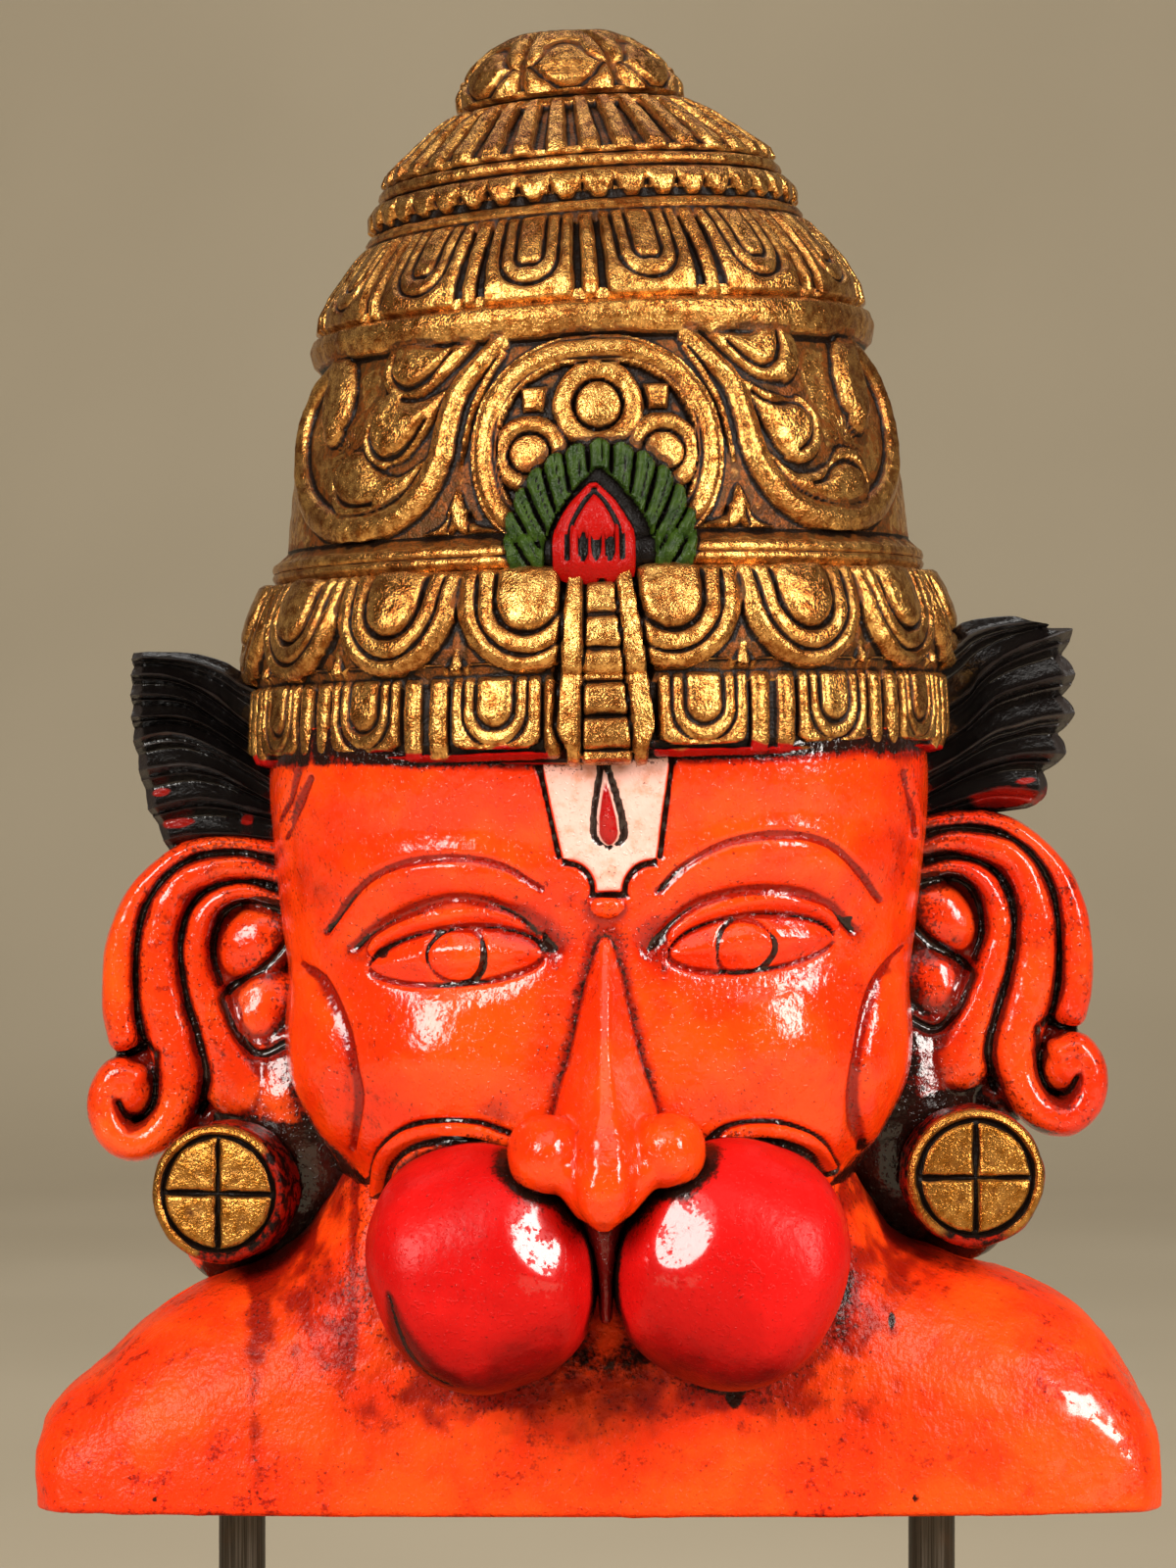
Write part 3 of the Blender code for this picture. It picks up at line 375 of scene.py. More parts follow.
def leaf_carving(angle, up):
    """Broad hanging leaves with two rims, and small sprays between their tips."""
    across = mirrored_copy(angle, *LEAF_STEPS) * LEAF_SCALE
    narrow = across * (1.0 - 0.010 * (up - LEAF_FOOT - 11.0))
    edge = u_shape(narrow, up, 14.4, LEAF_FOOT + 0.2)
    cut = 1.2 * groove(u_shape(narrow, up, 10.4, LEAF_FOOT + 4.0), 0.6)
    cut = cut + 1.5 * groove(u_shape(narrow, up, 6.6, LEAF_FOOT + 8.4), 0.65)
    middle = 1.1 * dome(np.hypot(narrow, (up - LEAF_FOOT - 16.6) * 0.8), 6.2)
    leaf = 1.0 * ramp(0.0, -2.2, edge) - cut + middle
    aside = np.abs(np.abs(across) - 15.26)
    spray = 1.5 * ramp(4.2, 2.4, aside + 0.8 * (up - LEAF_FOOT)) - 0.8 * groove(aside - 1.5, 0.5)
    relief = np.where(edge < 0, leaf, np.maximum(-2.2 * ramp(0.0, 0.8, edge), spray - 2.0))
    return relief * ramp(LEAF_FOOT, LEAF_FOOT + 0.8, up) * ramp(RING_FOOT, RING_FOOT - 1.2, up)


print("Rim panels are", PANEL_STEPS[1], "degrees apart and its leaves", LEAF_STEPS[1], "degrees")

# %% [markdown]
# A ladder strap runs down the middle of the rim, over the panels and leaves: two rails with rounded
# rungs between them. It widens downwards. Where it lies, it simply replaces the carving below it.

# %% Crown rim
STRAP_RUNG = 6.85
RIM_STEP = 0.50


def strap_carving(across, up):
    """The ladder strap that widens from the lotus down to the rim: where it is, and its height."""
    share = np.clip((RING_FOOT - up) / (RING_FOOT - CROWN_FOOT), 0.0, 1.0)
    aside = across - 1.6 * share
    outer = 6.6 + 4.4 * share - 2.4 * ramp(166.0, 159.5, up)
    inner = 2.9 + 2.5 * share
    turn = (up - 160.8) % STRAP_RUNG - STRAP_RUNG / 2
    rungs = 2.2 * np.minimum(dome(turn, STRAP_RUNG / 2) * 1.25, 1.0) - 1.0
    side = np.abs(aside)
    rail = 1.9 - 0.5 * ramp(inner, outer, side)
    height = np.where(side < inner, rungs + 0.2, rail) - 1.5 * groove(side - inner, 0.45)
    return ramp(0.0, -0.6, side - outer), height, 1.6 * groove(side - outer - 0.3, 0.7)


def rim_relief(angle, radius, up):
    """All the carving of the crown's two lowest tiers."""
    relief = np.where(up < LEAF_FOOT, rim_carving(angle, up), leaf_carving(angle, up))
    inside, height, beside = strap_carving(np.radians(angle) * radius, up)
    relief = (relief - beside) * (1 - inside) + height * inside
    return relief * ramp(74.0, 75.6, radius + 20.0 * (up < 197.8))


rows, angle, radius, up = turned_ring(RIM_OUTLINE, RIM_STEP, rim_relief)
smear = 161.2 + 0.9 * np.sin(angle * 0.31) + 0.5 * np.sin(angle * 0.83 + 1.0) - up
crown_rim = lay_sheet("crown_rim", rows, {"red_paint": 0.5 * smear * (np.abs(angle) > 8.0)})
print("crown_rim:", len(crown_rim.data.polygons), "faces")

# %% [markdown]
# The drum and the face are cut with drawn lines. A line is a smooth curve through a few points. The
# distance to it and the place along it say how deep and how wide a gouge has cut at any spot.

# %% Drawn lines


def smooth_path(points, steps=5):
    """A curve through the points, with so many steps from each to the next."""
    knots = np.array(points, dtype=float)
    padded = np.vstack([2 * knots[0] - knots[1], knots, 2 * knots[-1] - knots[-2]])
    curve = []
    for index in range(1, len(padded) - 2):
        before, start, end, after = padded[index - 1:index + 3]
        for share in np.arange(steps) / steps:
            bend = 2 * start + (end - before) * share
            bend = bend + (2 * before - 5 * start + 4 * end - after) * share ** 2
            bend = bend + (3 * start - before - 3 * end + after) * share ** 3
            curve.append(bend / 2)
    curve.append(knots[-1])
    return np.array(curve)


def path_distance(across, up, points):
    """The distance to a drawn line, and how far along it the nearest place is, from 0 to 1."""
    path = smooth_path(points)
    best = np.full(np.shape(across), 1e9)
    along = np.zeros(np.shape(across))
    last = len(path) - 1
    for index in range(last):
        start = path[index]
        run = path[index + 1] - start
        share = ((across - start[0]) * run[0] + (up - start[1]) * run[1]) / (run @ run + 1e-12)
        share = np.clip(share, 0.0, 1.0)
        gap = np.hypot(across - start[0] - share * run[0], up - start[1] - share * run[1])
        nearer = gap < best
        best = np.where(nearer, gap, best)
        along = np.where(nearer, (index + share) / last, along)
    return best, along


def spread(values, share):
    """Values spread evenly along a line, read at a share of its length."""
    return np.interp(share, np.linspace(0.0, 1.0, len(values)), values)


def within_stroke(across, up, points, widths):
    """How far inside a tapering stroke a place is: the half width there less the distance."""
    gap, along = path_distance(across, up, points)
    return spread(widths, along) - gap


print("Halfway along a stroke that tapers from 4 mm to 2 mm it is", float(spread((4.0, 2.0), 0.5)), "mm")

# %% [markdown]
# The drum carries the finest work. A horseshoe arch frames a flower, and on each side a stem sweeps
# down, out and up again to a hanging knob, with three hooked leaves on its inner side. Each stem and
# leaf is one tapering stroke of a broad gouge, and each dark hook is one stroke of a narrow one. So
# they are written as points along the drum and above its foot, with half widths and a height.

# %% Strokes of the scrolls
STEM = [(21.5, 43), (27.1, 37.3), (30.9, 32), (32.6, 25.5), (34, 18), (37, 12.2), (41.5, 7.9), (47.8, 5.4),
        (56, 4.6), (65, 6.1), (73, 9.8), (79, 14.5), (84, 21), (86, 27), (85.5, 33), (80.5, 38.5), (74, 41.2)]
RAISED = [
    (STEM, (2.4, 3.0, 3.4, 3.5, 3.4, 3.2, 2.9), 2.4),
    ([(74, 41.4), (70.0, 38.4), (68.4, 34), (67.8, 29.0), (67.6, 27.0)], (3.0, 6.0, 7.0, 6.0, 4.0), 2.5),
    ([(20.6, 40.6), (23.8, 35.4), (26.8, 28.8), (28.1, 22.2), (28.9, 16.6)], (0.7, 0.9, 0.9, 0.8, 0.4), 1.2),
    ([(20.4, 2.6), (26.0, 3.4), (29.0, 6.2), (29.2, 10.8)], (0.5, 1.4, 2.6, 0.7), 1.9),
    ([(36.6, 2.2), (32.0, 3.2), (29.4, 6.2), (29.2, 10.8)], (0.5, 1.4, 2.4, 0.7), 1.9),
]
LEAVES = {
    1: [([(25.4, 44.4), (32, 40.8), (38, 39.4), (43.2, 40.4)], (0.8, 3.0, 5.8, 7.8), 2.1),
        ([(32.8, 33.4), (37.4, 28.6), (42.6, 24.8), (44.8, 23.6)], (0.7, 3.4, 6.4, 7.8), 2.3),
        ([(36.6, 18.2), (42, 12.8), (48, 11.2), (55, 11.6), (60, 13.6)], (0.6, 1.9, 3.2, 5.2, 6.8), 2.3)],
    -1: [([(26.4, 44.4), (34, 40.2), (40, 38.6), (44.8, 39.6)], (0.8, 3.2, 6.4, 8.0), 2.1),
         ([(33.2, 33), (38.6, 28.2), (44, 25.6), (47.4, 25.6)], (0.7, 3.6, 7.0, 8.6), 2.3),
         ([(37, 18.2), (43, 13.0), (50, 12.0), (57, 14.0)], (0.6, 2.4, 4.6, 7.8), 2.3)],
}
HOOKS = {
    1: [[(31.2, 41.2), (35.0, 38.0), (38.9, 36.2), (42.6, 37.4), (44.6, 40.4), (44.8, 43.4)],
        [(35.0, 30.8), (37.6, 29), (41.2, 28.4), (45.2, 29), (48.6, 27.2), (49.6, 24), (48, 20.8),
         (44.8, 18.8)],
        [(47.4, 11.8), (51, 12.6), (54.6, 15.6), (58.4, 16.8), (62.2, 15.5), (64.6, 12.9)],
        [(26.8, 6.6), (26.5, 3.0)], [(30.4, 6.4), (31.2, 3.0)], [(72.6, 37.5), (74.6, 33), (73.4, 28.0)]],
    -1: [[(33.6, 41.6), (36.9, 37.6), (39.6, 35.4), (43.9, 34.2), (47.4, 35.6), (49.2, 38), (49.2, 41.4)],
         [(38.0, 26.8), (41.2, 22.4), (44.6, 19.8), (48.6, 19.2), (51.4, 20.9), (52.9, 23.6), (52.4, 26.4)],
         [(50.3, 9.7), (57.2, 9.8), (61.8, 11.8), (64.6, 15), (64.6, 18.3)],
         [(26.8, 6.6), (26.5, 3.0)], [(30.4, 6.4), (31.2, 3.0)], [(75.4, 36), (75.8, 30), (73.0, 24.6)]],
}
ARCH = [(0, 40.2), (9, 39.4), (16.6, 35.6), (20.8, 30.6), (22.8, 25.4), (23.4, 20), (22.9, 14.8), (21.2, 9.2),
        (18.4, 5.2), (14.5, 2.4)]
print("Scrolls:", len(RAISED) + sum(map(len, LEAVES.values())), "broad strokes,",
      sum(map(len, HOOKS.values())), "narrow ones")

# %% [markdown]
# The ground between the scrolls is cut back evenly, and each broad stroke is left standing on it,
# with a rounded back. The narrow strokes are then cut into what stands. The flower under the arch is
# made of discs and rings in the same way.

# %% Cutting the scrolls and the flower
GROUND = 2.2
ARC_PER_DEGREE = 1.152
FAN_PLACE = (61.6, 21.4)
ARCH_HALF_WIDTH = 3.1


def scroll_carving(angle, rise):
    """Height of the arch, stems and hooked leaves over the drum."""
    arc = angle * ARC_PER_DEGREE
    side = np.abs(arc)
    relief = -GROUND + 0.0 * arc
    for hand in (-1, 1):
        for points, widths, height in RAISED + LEAVES[hand]:
            inside = within_stroke(side, rise, points, widths)
            broad = max(widths) * (0.9 if points is STEM else 0.5)
            back = 0.45 * ramp(0.0, 0.8, inside) + 0.55 * np.clip(inside / broad, 0.0, 1.0) ** 0.8
            stroke = np.maximum(relief, -GROUND + (height + 0.2) * back)
            relief = np.where(arc * hand > 0, stroke, relief)
        for points in HOOKS[hand]:
            gap, along = path_distance(side, rise, points)
            width = 0.40 + 0.50 * np.sin(math.pi * np.clip(along, 0.05, 0.95))
            relief = relief - 1.5 * groove(gap, width) * (arc * hand > 0)
    aside, above = side - FAN_PLACE[0], rise - FAN_PLACE[1]
    fan = np.hypot(aside, above)
    cuts = groove(np.sin(np.arctan2(above, aside) * 11.0), 0.5)
    relief = relief - 0.5 * cuts * ramp(7.5, 3.0, fan) * ramp(0.5, 2.0, fan)
    arch, along = path_distance(side, rise, ARCH)
    band = -GROUND + 3.0 * dome(arch, ARCH_HALF_WIDTH) ** 0.7
    band = band - 0.8 * groove(arch - 2.0, 0.45) * ramp(0.0, 1.0, arch)
    relief = np.where(arch < ARCH_HALF_WIDTH, np.maximum(band, -GROUND), relief)
    return relief, arch


def flower_carving(across, rise):
    """The flower under the arch: a ringed disc, two ringed petals and two buds."""
    disc = np.hypot(across - 0.4, (rise - 28.3) * 0.98)
    relief = np.maximum(2.2 * dome(disc, 6.6) * ramp(5.2, 4.4, disc), 2.4 * dome(disc - 7.5, 2.2) ** 0.7)
    for centre in (-13.9, 13.6):
        petal = np.hypot(across - centre, rise - 18.4)
        leaf = np.maximum(2.0 * dome(petal, 5.8) * ramp(4.6, 3.8, petal), 2.2 * dome(petal - 6.3, 1.9) ** 0.7)
        relief = np.maximum(relief, leaf)
        bud = np.maximum(np.abs(across - centre * 0.96) * 1.1, np.abs(rise - 29.6)) + 0.2 * np.abs(rise - 32)
        relief = np.maximum(relief, 1.9 * ramp(3.6, 2.2, bud))
    return relief - GROUND


print("The drum's ground is cut back by", GROUND, "mm")

# %% [markdown]
# The lotus in front is a fan of pleated leaves round a pointed bud, with a dark gap between them. The
# drawing gives how far inside each of the three a place is, because the paint needs that too.

# %% Lotus
LOTUS_MIDDLE, LOTUS_FOOT = 0.4, 199.6
LOTUS_PITCH = 14.8
BUD_SLITS = [(-3.4, 6.8), (-0.9, 5.6), (1.7, 6.4)]


def pointed(rise, foot, height, fullness, point):
    """The width of a pointed petal at a height, as a share of its width at its foot."""
    return np.clip(1.0 - np.clip((rise - foot) / height, 0, 1) ** fullness, 0.0, 1.0) ** point


def lotus_carving(across, up):
    """How far inside the lotus's fan, bud and dark gap a place is, its slits and pleats, and its height."""
    aside, rise = across - LOTUS_MIDDLE, up - LOTUS_FOOT
    turn = np.degrees(np.arctan2(aside, rise + 1.0))
    reach = np.hypot(aside, rise + 1.0)
    bent = turn * (1.0 + 0.034 * (reach - 16.0))
    off = nearest_copy(bent, LOTUS_PITCH)
    lobe = np.abs(off) / (LOTUS_PITCH / 2)
    outline = 24.4 - 6.6 * (np.abs(turn) / 90.0) ** 1.4 + 1.4 * (1 - lobe ** 2)
    fan = np.where(np.abs(turn) < 97, outline - reach, -9.0)
    half = 8.6 * pointed(rise, 4.0, 12.2, 1.55, 0.9)
    bud = np.where(rise > -1.6, half - np.abs(aside + 1.4), -9.0)
    bud = np.minimum(bud, (16.0 - rise) * 0.7)
    wide = 11.2 * pointed(rise, 3.0, 16.0, 1.4, 0.9)
    gap = np.minimum(wide - np.abs(aside + 0.2), (18.8 - rise) * 0.7)
    pleats = 1.5 * groove(lobe - 1.0, 0.17) + 0.6 * groove(lobe * np.sign(off) - 0.2, 0.13)
    fan_height = 2.3 - pleats * ramp(0.0, 1.5, -gap) + 0.6 * (1 - lobe ** 2)
    inner = np.abs(aside + 1.2) - 5.3 * pointed(rise, 3.0, 10.4, 1.5, 0.8)
    slits = 0.0 * aside
    for centre, top in BUD_SLITS:
        width = 0.95 * ramp(top, top - 2.5, rise) * ramp(0.4, 1.6, rise)
        slits = np.maximum(slits, ramp(width + 0.25, width - 0.25, np.abs(aside - centre)) * (width > 0.05))
    slits = np.maximum(slits, 0.9 * groove(inner, 0.75) * (rise < 14.4) * (rise > 0.6))
    bud_height = 3.4 + 2.0 * ramp(0.0, 5.0, bud) - 1.2 * slits
    height = np.where(gap > 0, 1.2, fan_height)
    height = np.where(bud > 0, np.maximum(height, 1.2 + (bud_height - 1.2) * ramp(0.0, 0.7, bud)), height)
    return fan, bud, gap, slits, pleats, height


print("The lotus has", round(2 * 97 / LOTUS_PITCH), "leaves")

# %% [markdown]
# All of the drum's carving is one height over its turned outline: the flower inside the arch, the
# scrolls outside it, and the lotus laid over both. Plain rolls stay below and above.

# %% Crown drum
DRUM_RADIUS = 66.0
DRUM_STEP = 0.47


def drum_relief(angle, radius, up):
    """All the carving of the drum, with plain rolls below and above."""
    rise = up - DRUM_FOOT
    across = np.radians(angle) * DRUM_RADIUS
    scroll, arch = scroll_carving(angle, rise)
    inside_arch = (np.hypot(across, (rise - 18.5) * 0.93) < 22.0) & (arch > 3.0)
    relief = np.where(inside_arch, flower_carving(across, rise), scroll)
    relief = relief * ramp(0.0, 1.0, rise) * ramp(DRUM_TOP, DRUM_TOP - 1.0, up)
    relief = relief - 0.7 * groove(up - 201.0, 0.5) * (up < DRUM_FOOT)
    lotus = lotus_carving(np.radians(angle) * radius, up)
    fan, height = lotus[0], lotus[-1]
    inside = ramp(-0.2, 0.5, fan) * (up > RING_FOOT)
    return (relief * (1 - inside) + height * inside) * (up > RING_FOOT) * (up < PANEL_FOOT)


rows, angle, radius, up = turned_ring(DRUM_OUTLINE, DRUM_STEP, drum_relief)
across = np.radians(angle) * radius
fan, bud, gap, slits, pleats, height = lotus_carving(across, up)
fan_paint = np.where(up > RING_FOOT, fan, -1.0)
bud_paint = np.minimum(np.minimum(bud, 1.0), fan + 2.0) - 1.6 * slits
pleat_ink = 0.9 * np.clip(pleats, 0.0, 1.0) * (fan > 0.0) * (gap < 0.0)
foot_ink = 1.2 * groove(np.hypot(across / 1.9 + 0.4, up - 199.4), 4.2) * (bud_paint < 0)
crown_drum = lay_sheet("crown_drum", rows, {
    "green_paint": fan_paint, "red_paint": bud_paint, "black_paint": np.minimum(gap, fan + 0.5),
    "ink": foot_ink + pleat_ink,
})
print("crown_drum:", len(crown_drum.data.polygons), "faces")

# %% [markdown]
# The top of the crown steps in quickly: sloping panels, a bead, a ring of notches, a collar, a skirt
# of flutes and a bud of seven petals. The same two tricks, the repeated angle and the U, draw it.

# %% Crown top
SLAB_STEPS = (12.8, 25.6)
NOTCH_PITCH, FLUTE_PITCH, PETAL_PITCH = 8.6, 10.0, 52.0
TOP_STEP = 0.52


def panel_carving(angle, up):
    """The upper tier's square panels with one rib between two dark grooves."""
    narrowing = 0.98 - 0.008 * (up - PANEL_FOOT)
    across = mirrored_copy(angle, *SLAB_STEPS) * narrowing
    edge = np.abs(across) - 8.5 + 0.06 * (up - PANEL_FOOT)
    cut = 1.2 * groove(u_shape(across, up, 5.7, PANEL_FOOT + 4.2), 0.6)
    point = u_shape(across, up, 2.8, PANEL_FOOT + 8.2) + 0.5 * groove(across, 1.0)
    cut = cut + 1.2 * groove(point, 0.6)
    rib = 2.1 * dome(np.abs(across) - SLAB_STEPS[0] * narrowing, 1.5) ** 0.8
    relief = np.where(edge < 0, -cut, np.maximum(-GROUND * ramp(0.0, 1.0, edge), -GROUND + rib))
    return relief * ramp(PANEL_FOOT, 255.2, up) * ramp(PANEL_TOP, 273.0, up)


def top_relief(angle, radius, up):
    """All the carving above the drum."""
    tooth = np.abs(nearest_copy(angle, NOTCH_PITCH))
    notch = ramp(3.4, 0.4, tooth + 0.5 * (up - 277.0)) * ramp(276.2, 277.0, up) * ramp(283.0, 282.0, up)
    flute = ramp(3.2, 1.2, np.abs((angle - 3.5) % FLUTE_PITCH - FLUTE_PITCH / 2))
    flute = flute * ramp(SKIRT_FOOT + 0.2, SKIRT_FOOT + 1.4, up) * ramp(BUD_FOOT, BUD_FOOT - 1.6, up)
    turn = nearest_copy(angle, PETAL_PITCH)
    rise = up - BUD_FOOT
    split = groove(PETAL_PITCH / 2 - np.abs(turn), 3.2) * ramp(0.0, 2.0, rise)
    aside = turn * 0.36 * ramp(18.6, -1.4, rise) * (1.0 + 0.4 * np.clip(rise - 7.6, 0.0, 9.0))
    drop = np.hypot(aside, (rise - 7.2) * 0.7)
    tear = groove(drop - 4.2, 0.7) * ramp(0.0, 1.6, rise)
    relief = np.where(up < PANEL_TOP, panel_carving(angle, up), 0.0)
    relief = np.where(up >= PANEL_TOP, -2.4 * notch - 2.2 * flute - 2.2 * split - 1.2 * tear, relief)
    return relief * (up > PANEL_FOOT)


crown_top = lay_sheet("crown_top", turned_ring(TOP_OUTLINE, TOP_STEP, top_relief)[0])
print("crown_top:", len(crown_top.data.polygons), "faces")

# %% [markdown]
# The face is drawn before it is cut. Each line is a path with its widths and, since a glaze brush followed
# the knife, with how dark it is along its length. The eyes are given by their corners, and soft touches of
# glaze and of deeper red are noted by place, reach and strength; the deeper red is partly painted shade.

# %% Lines of the face
EYES = [
    {"inner": (-11.6, 118.6), "outer": (-48.4, 115.6), "rise": 7.0, "drop": 4.9, "iris": (-29.9, 118.4)},
    {"inner": (14.6, 118.6), "outer": (49.6, 121.6), "rise": 6.6, "drop": 5.2, "iris": (30.5, 119.8)},
]
IRIS_RADIUS = 6.0
FACE_LINES = [
    ([(-57.2, 122.8), (-51.2, 130.4), (-44.9, 135.3), (-37, 137.9), (-27.2, 138.4), (-19.2, 136.6),
      (-12.1, 132.2)],
     (0.5, 0.8, 0.9, 0.8, 0.5), (0.6, 0.28, 0.22, 0.16, 0.0)),
    ([(12.3, 131.7), (18.1, 137.5), (26.9, 141.9), (37.6, 143.3), (46.4, 141.5), (53.5, 135.7),
      (58.9, 129.5)],
     (0.6, 0.8, 0.9, 0.8, 0.5), (0.5, 0.24, 0.14, 0.14, 0.14)),
    ([(-51.2, 119.8), (-47.6, 123.3), (-39.6, 127.7), (-30.7, 130.4), (-21.9, 129.1), (-13.9, 124.2),
      (-9.5, 119.8)],
     (0.9, 1.1, 0.9, 1.1, 1.5), (0.75, 0.3, 0.16, 0.16, 0.3, 0.85, 0.6)),
    ([(10.5, 119.8), (13.6, 123.3), (19.8, 128.6), (28.7, 131.7), (39.4, 131.7), (48.2, 128.2),
      (53.1, 123.3)],
     (1.5, 1.1, 0.9, 1.1, 0.9), (0.5, 0.7, 0.24, 0.12, 0.12, 0.2, 0.95)),
    ([(-63.2, 115.6), (-58.3, 112.7), (-54.3, 105.6), (-51.6, 96.7), (-50.4, 87.8), (-52, 77.2)],
     (0.6, 1.0, 1.1, 1.0, 0.6), (0.1, 0.16, 0.2, 0.2, 0.1)),
    ([(65.0, 119.2), (58.9, 113.5), (55.3, 103.8), (53.1, 92.3), (53.5, 83.4), (55.3, 77.2)],
     (0.5, 1.0, 1.1, 1.2, 1.2), (0.1, 0.16, 0.2, 0.3, 0.3)),
    ([(-60.6, 155.0), (-63.2, 149.6), (-66.4, 142.4)], (0.6, 0.9, 0.4), (0.3, 0.1)),
    ([(-63.6, 156.0), (-65.6, 150.6), (-68.0, 146.0)], (0.6, 0.9, 0.4), (0.3, 0.1)),
    ([(64.4, 156.0), (66.4, 149.6), (67.6, 143.0)], (0.6, 0.9, 0.4), (0.3, 0.1)),
]
STRIPS = [
    ([(-47.4, 66.5), (-45.6, 74.6), (-41, 79.6), (-34.4, 81.7), (-26, 81.7), (-19.6, 79.7)],
     (1.0, 1.5, 1.6, 1.5, 1.5)),
    ([(22.8, 76.8), (26.3, 80.4), (31.7, 81.6), (38.6, 81.0), (45.4, 77.9), (48.9, 73.0)],
     (1.3, 1.6, 1.6, 1.5, 1.0)),
]
FACE_SWELLS = [
    ((-33.0, 134.5), (24.0, 9.0), (1.2, 0.2), 1.8), ((38.0, 138.0), (24.0, 9.0), (1.2, 0.2), 1.8),
    ((-35.0, 97.0), (20.0, 15.0), (1.0, 0.0), 2.6), ((38.0, 99.0), (20.0, 15.0), (1.0, 0.0), 2.6),
]
GLAZE_SPOTS = [
    ((-45.6, 118.2), (1.6, 1.2), 0.9), ((-11.2, 120.0), (1.4, 1.1), 0.8), ((12.6, 121.4), (1.6, 1.2), 0.7),
    ((52.6, 125.8), (0.9, 0.8), 0.9), ((-56.4, 124.0), (0.9, 0.7), 0.8), ((13.4, 133.0), (0.8, 0.6), 0.7),
]
# Deeper red touches, partly red glaze and partly painted shade: in the eye hollows, by the nose root, along
# the lids and at the temples.
ROUGE_AND_SHADE_SPOTS = [
    ((-10.0, 121.5), (7.0, 6.0), 0.55), ((11.5, 122.5), (7.0, 6.0), 0.6), ((-14.0, 131.0), (10.0, 4.0), 0.4),
    ((17.0, 133.0), (10.0, 4.0), 0.4), ((0.0, 127.0), (6.0, 6.0), 0.4), ((13.0, 110.0), (4.0, 9.0), 0.5),
    ((-11.0, 106.0), (3.0, 10.0), 0.4), ((-50.0, 117.0), (5.0, 4.0), 0.5), ((54.0, 121.0), (5.0, 4.0), 0.5),
    ((-21.0, 85.0), (5.0, 4.0), 0.7), ((25.0, 85.0), (6.0, 4.0), 0.6), ((-58.0, 132.0), (7.0, 9.0), 0.5),
    ((60.0, 138.0), (7.0, 9.0), 0.4), ((-20.0, 96.0), (7.0, 9.0), 0.2), ((30.0, 90.0), (12.0, 6.0), 0.3),
    ((-45.0, 86.0), (10.0, 6.0), 0.35), ((-30.0, 123.0), (16.0, 3.0), 0.25),
    ((32.0, 125.0), (16.0, 3.0), 0.25),
]
print("Face:", len(FACE_LINES), "lines,", len(EYES), "eyes and", len(GLAZE_SPOTS + ROUGE_AND_SHADE_SPOTS), "touches")

# %% [markdown]
# An eye is a swelling ball between two curved lids, with the ring of the iris cut into it. The
# forehead mark is a cream panel with a red drop in it, and both are shapes whose edge can be
# measured, so that the groove round them and the paint inside them fit each other.

# %% Eyes and forehead mark
DROP_LEVELS = [131.0, 141.0, 141.4, 142.2, 143.6, 147.0, 151.0, 157.4]
DROP_HALF_WIDTHS = [-16.0, -0.6, 0.8, 1.7, 2.2, 2.0, 1.2, -0.3]


def eye_carving(across, up, eye):
    """A swelling eyeball between its lids, with the ring of the iris, and the paint in its lines."""
    (inner_x, inner_z), (outer_x, outer_z) = eye["inner"], eye["outer"]
    beyond = (across - inner_x) / (outer_x - inner_x)
    share = np.clip(beyond, 0.0, 1.0)
    arc = np.sqrt(4 * share * (1 - share) + 1e-9)
    middle = inner_z + (outer_z - inner_z) * share
    edge = np.minimum(middle + eye["rise"] * arc - up, up - middle + eye["drop"] * arc)
    edge = np.where((beyond > 0) & (beyond < 1), edge, -9.0)
    ring = np.hypot(across - eye["iris"][0], (up - eye["iris"][1]) * 1.03) - IRIS_RADIUS
    cut = 1.0 * groove(edge, 0.6) * (edge > -2.0) + 0.8 * groove(ring, 0.5) * (edge > 0.3)
    ball = 2.4 * ramp(0.0, 5.0, edge) - cut + 1.3 * groove(edge + 2.4, 1.5) * (up > middle)
    turn = np.arctan2(up - eye["iris"][1], across - eye["iris"][0])
    iris = 1.5 * np.abs(np.cos(turn + 0.3)) ** 2.0 * (0.8 + 0.2 * np.sign(np.cos(turn)))
    lid = np.where(up > middle, 0.12 + 0.6 * np.abs(2 * share - 1.0) ** 2.0,
                   0.08 + 0.5 * groove(share - 0.5, 0.2))
    return ball, lid * groove(edge, 0.6) * (edge > -2.0) + iris * groove(ring, 0.9) * (edge > 0.3)


def tilak_edge(across, up):
    """How far inside the forehead mark a place is."""
    aside = np.abs(across - np.interp(up, [131.6, 138.4, 161.0], [1.9, 2.1, 1.0]))
    slab = np.minimum(np.interp(up, [138.4, 161.0], [9.3, 13.2]) - aside, up - 138.4)
    stem = np.minimum(np.hypot(np.minimum(aside - 8.9, 0.0), up - 131.9) - 6.2, 8.6 - aside)
    return np.where(up < 138.6, np.minimum(stem, up - 131.6), slab + 0.4)


def drop_edge(across, up):
    """How far inside the red drop a place is: pointed above, round below."""
    half = np.interp(up, DROP_LEVELS, DROP_HALF_WIDTHS)
    return half - np.abs(across - np.interp(up, [142.0, 157.0], [2.0, 1.0]))


print("The red drop is", 2 * max(DROP_HALF_WIDTHS), "mm wide")

# %% [markdown]
# All the carving of the face is one height over the plain head, summed line by line. The dark glaze and the
# deeper red are summed beside it, because they lie where the knife went; both also carry painted shade, under
# the crown's rim, at the temples and in the eye hollows.

# %% Face
JOWL_LEVELS = [77.2, 87.8, 96.7, 105.6, 112.7, 116.0]
JOWL_EDGES = [51.6, 52.0, 52.6, 54.8, 58.4, 63.2]


def brushed(across, up, touches):
    """How much paint a set of soft brush touches leaves at a place."""
    paint = 0.0 * across
    for (x, z), (wide, tall), strength in touches:
        paint = paint + strength * groove(np.hypot((across - x) / wide, (up - z) / tall), 1.0)
    return paint


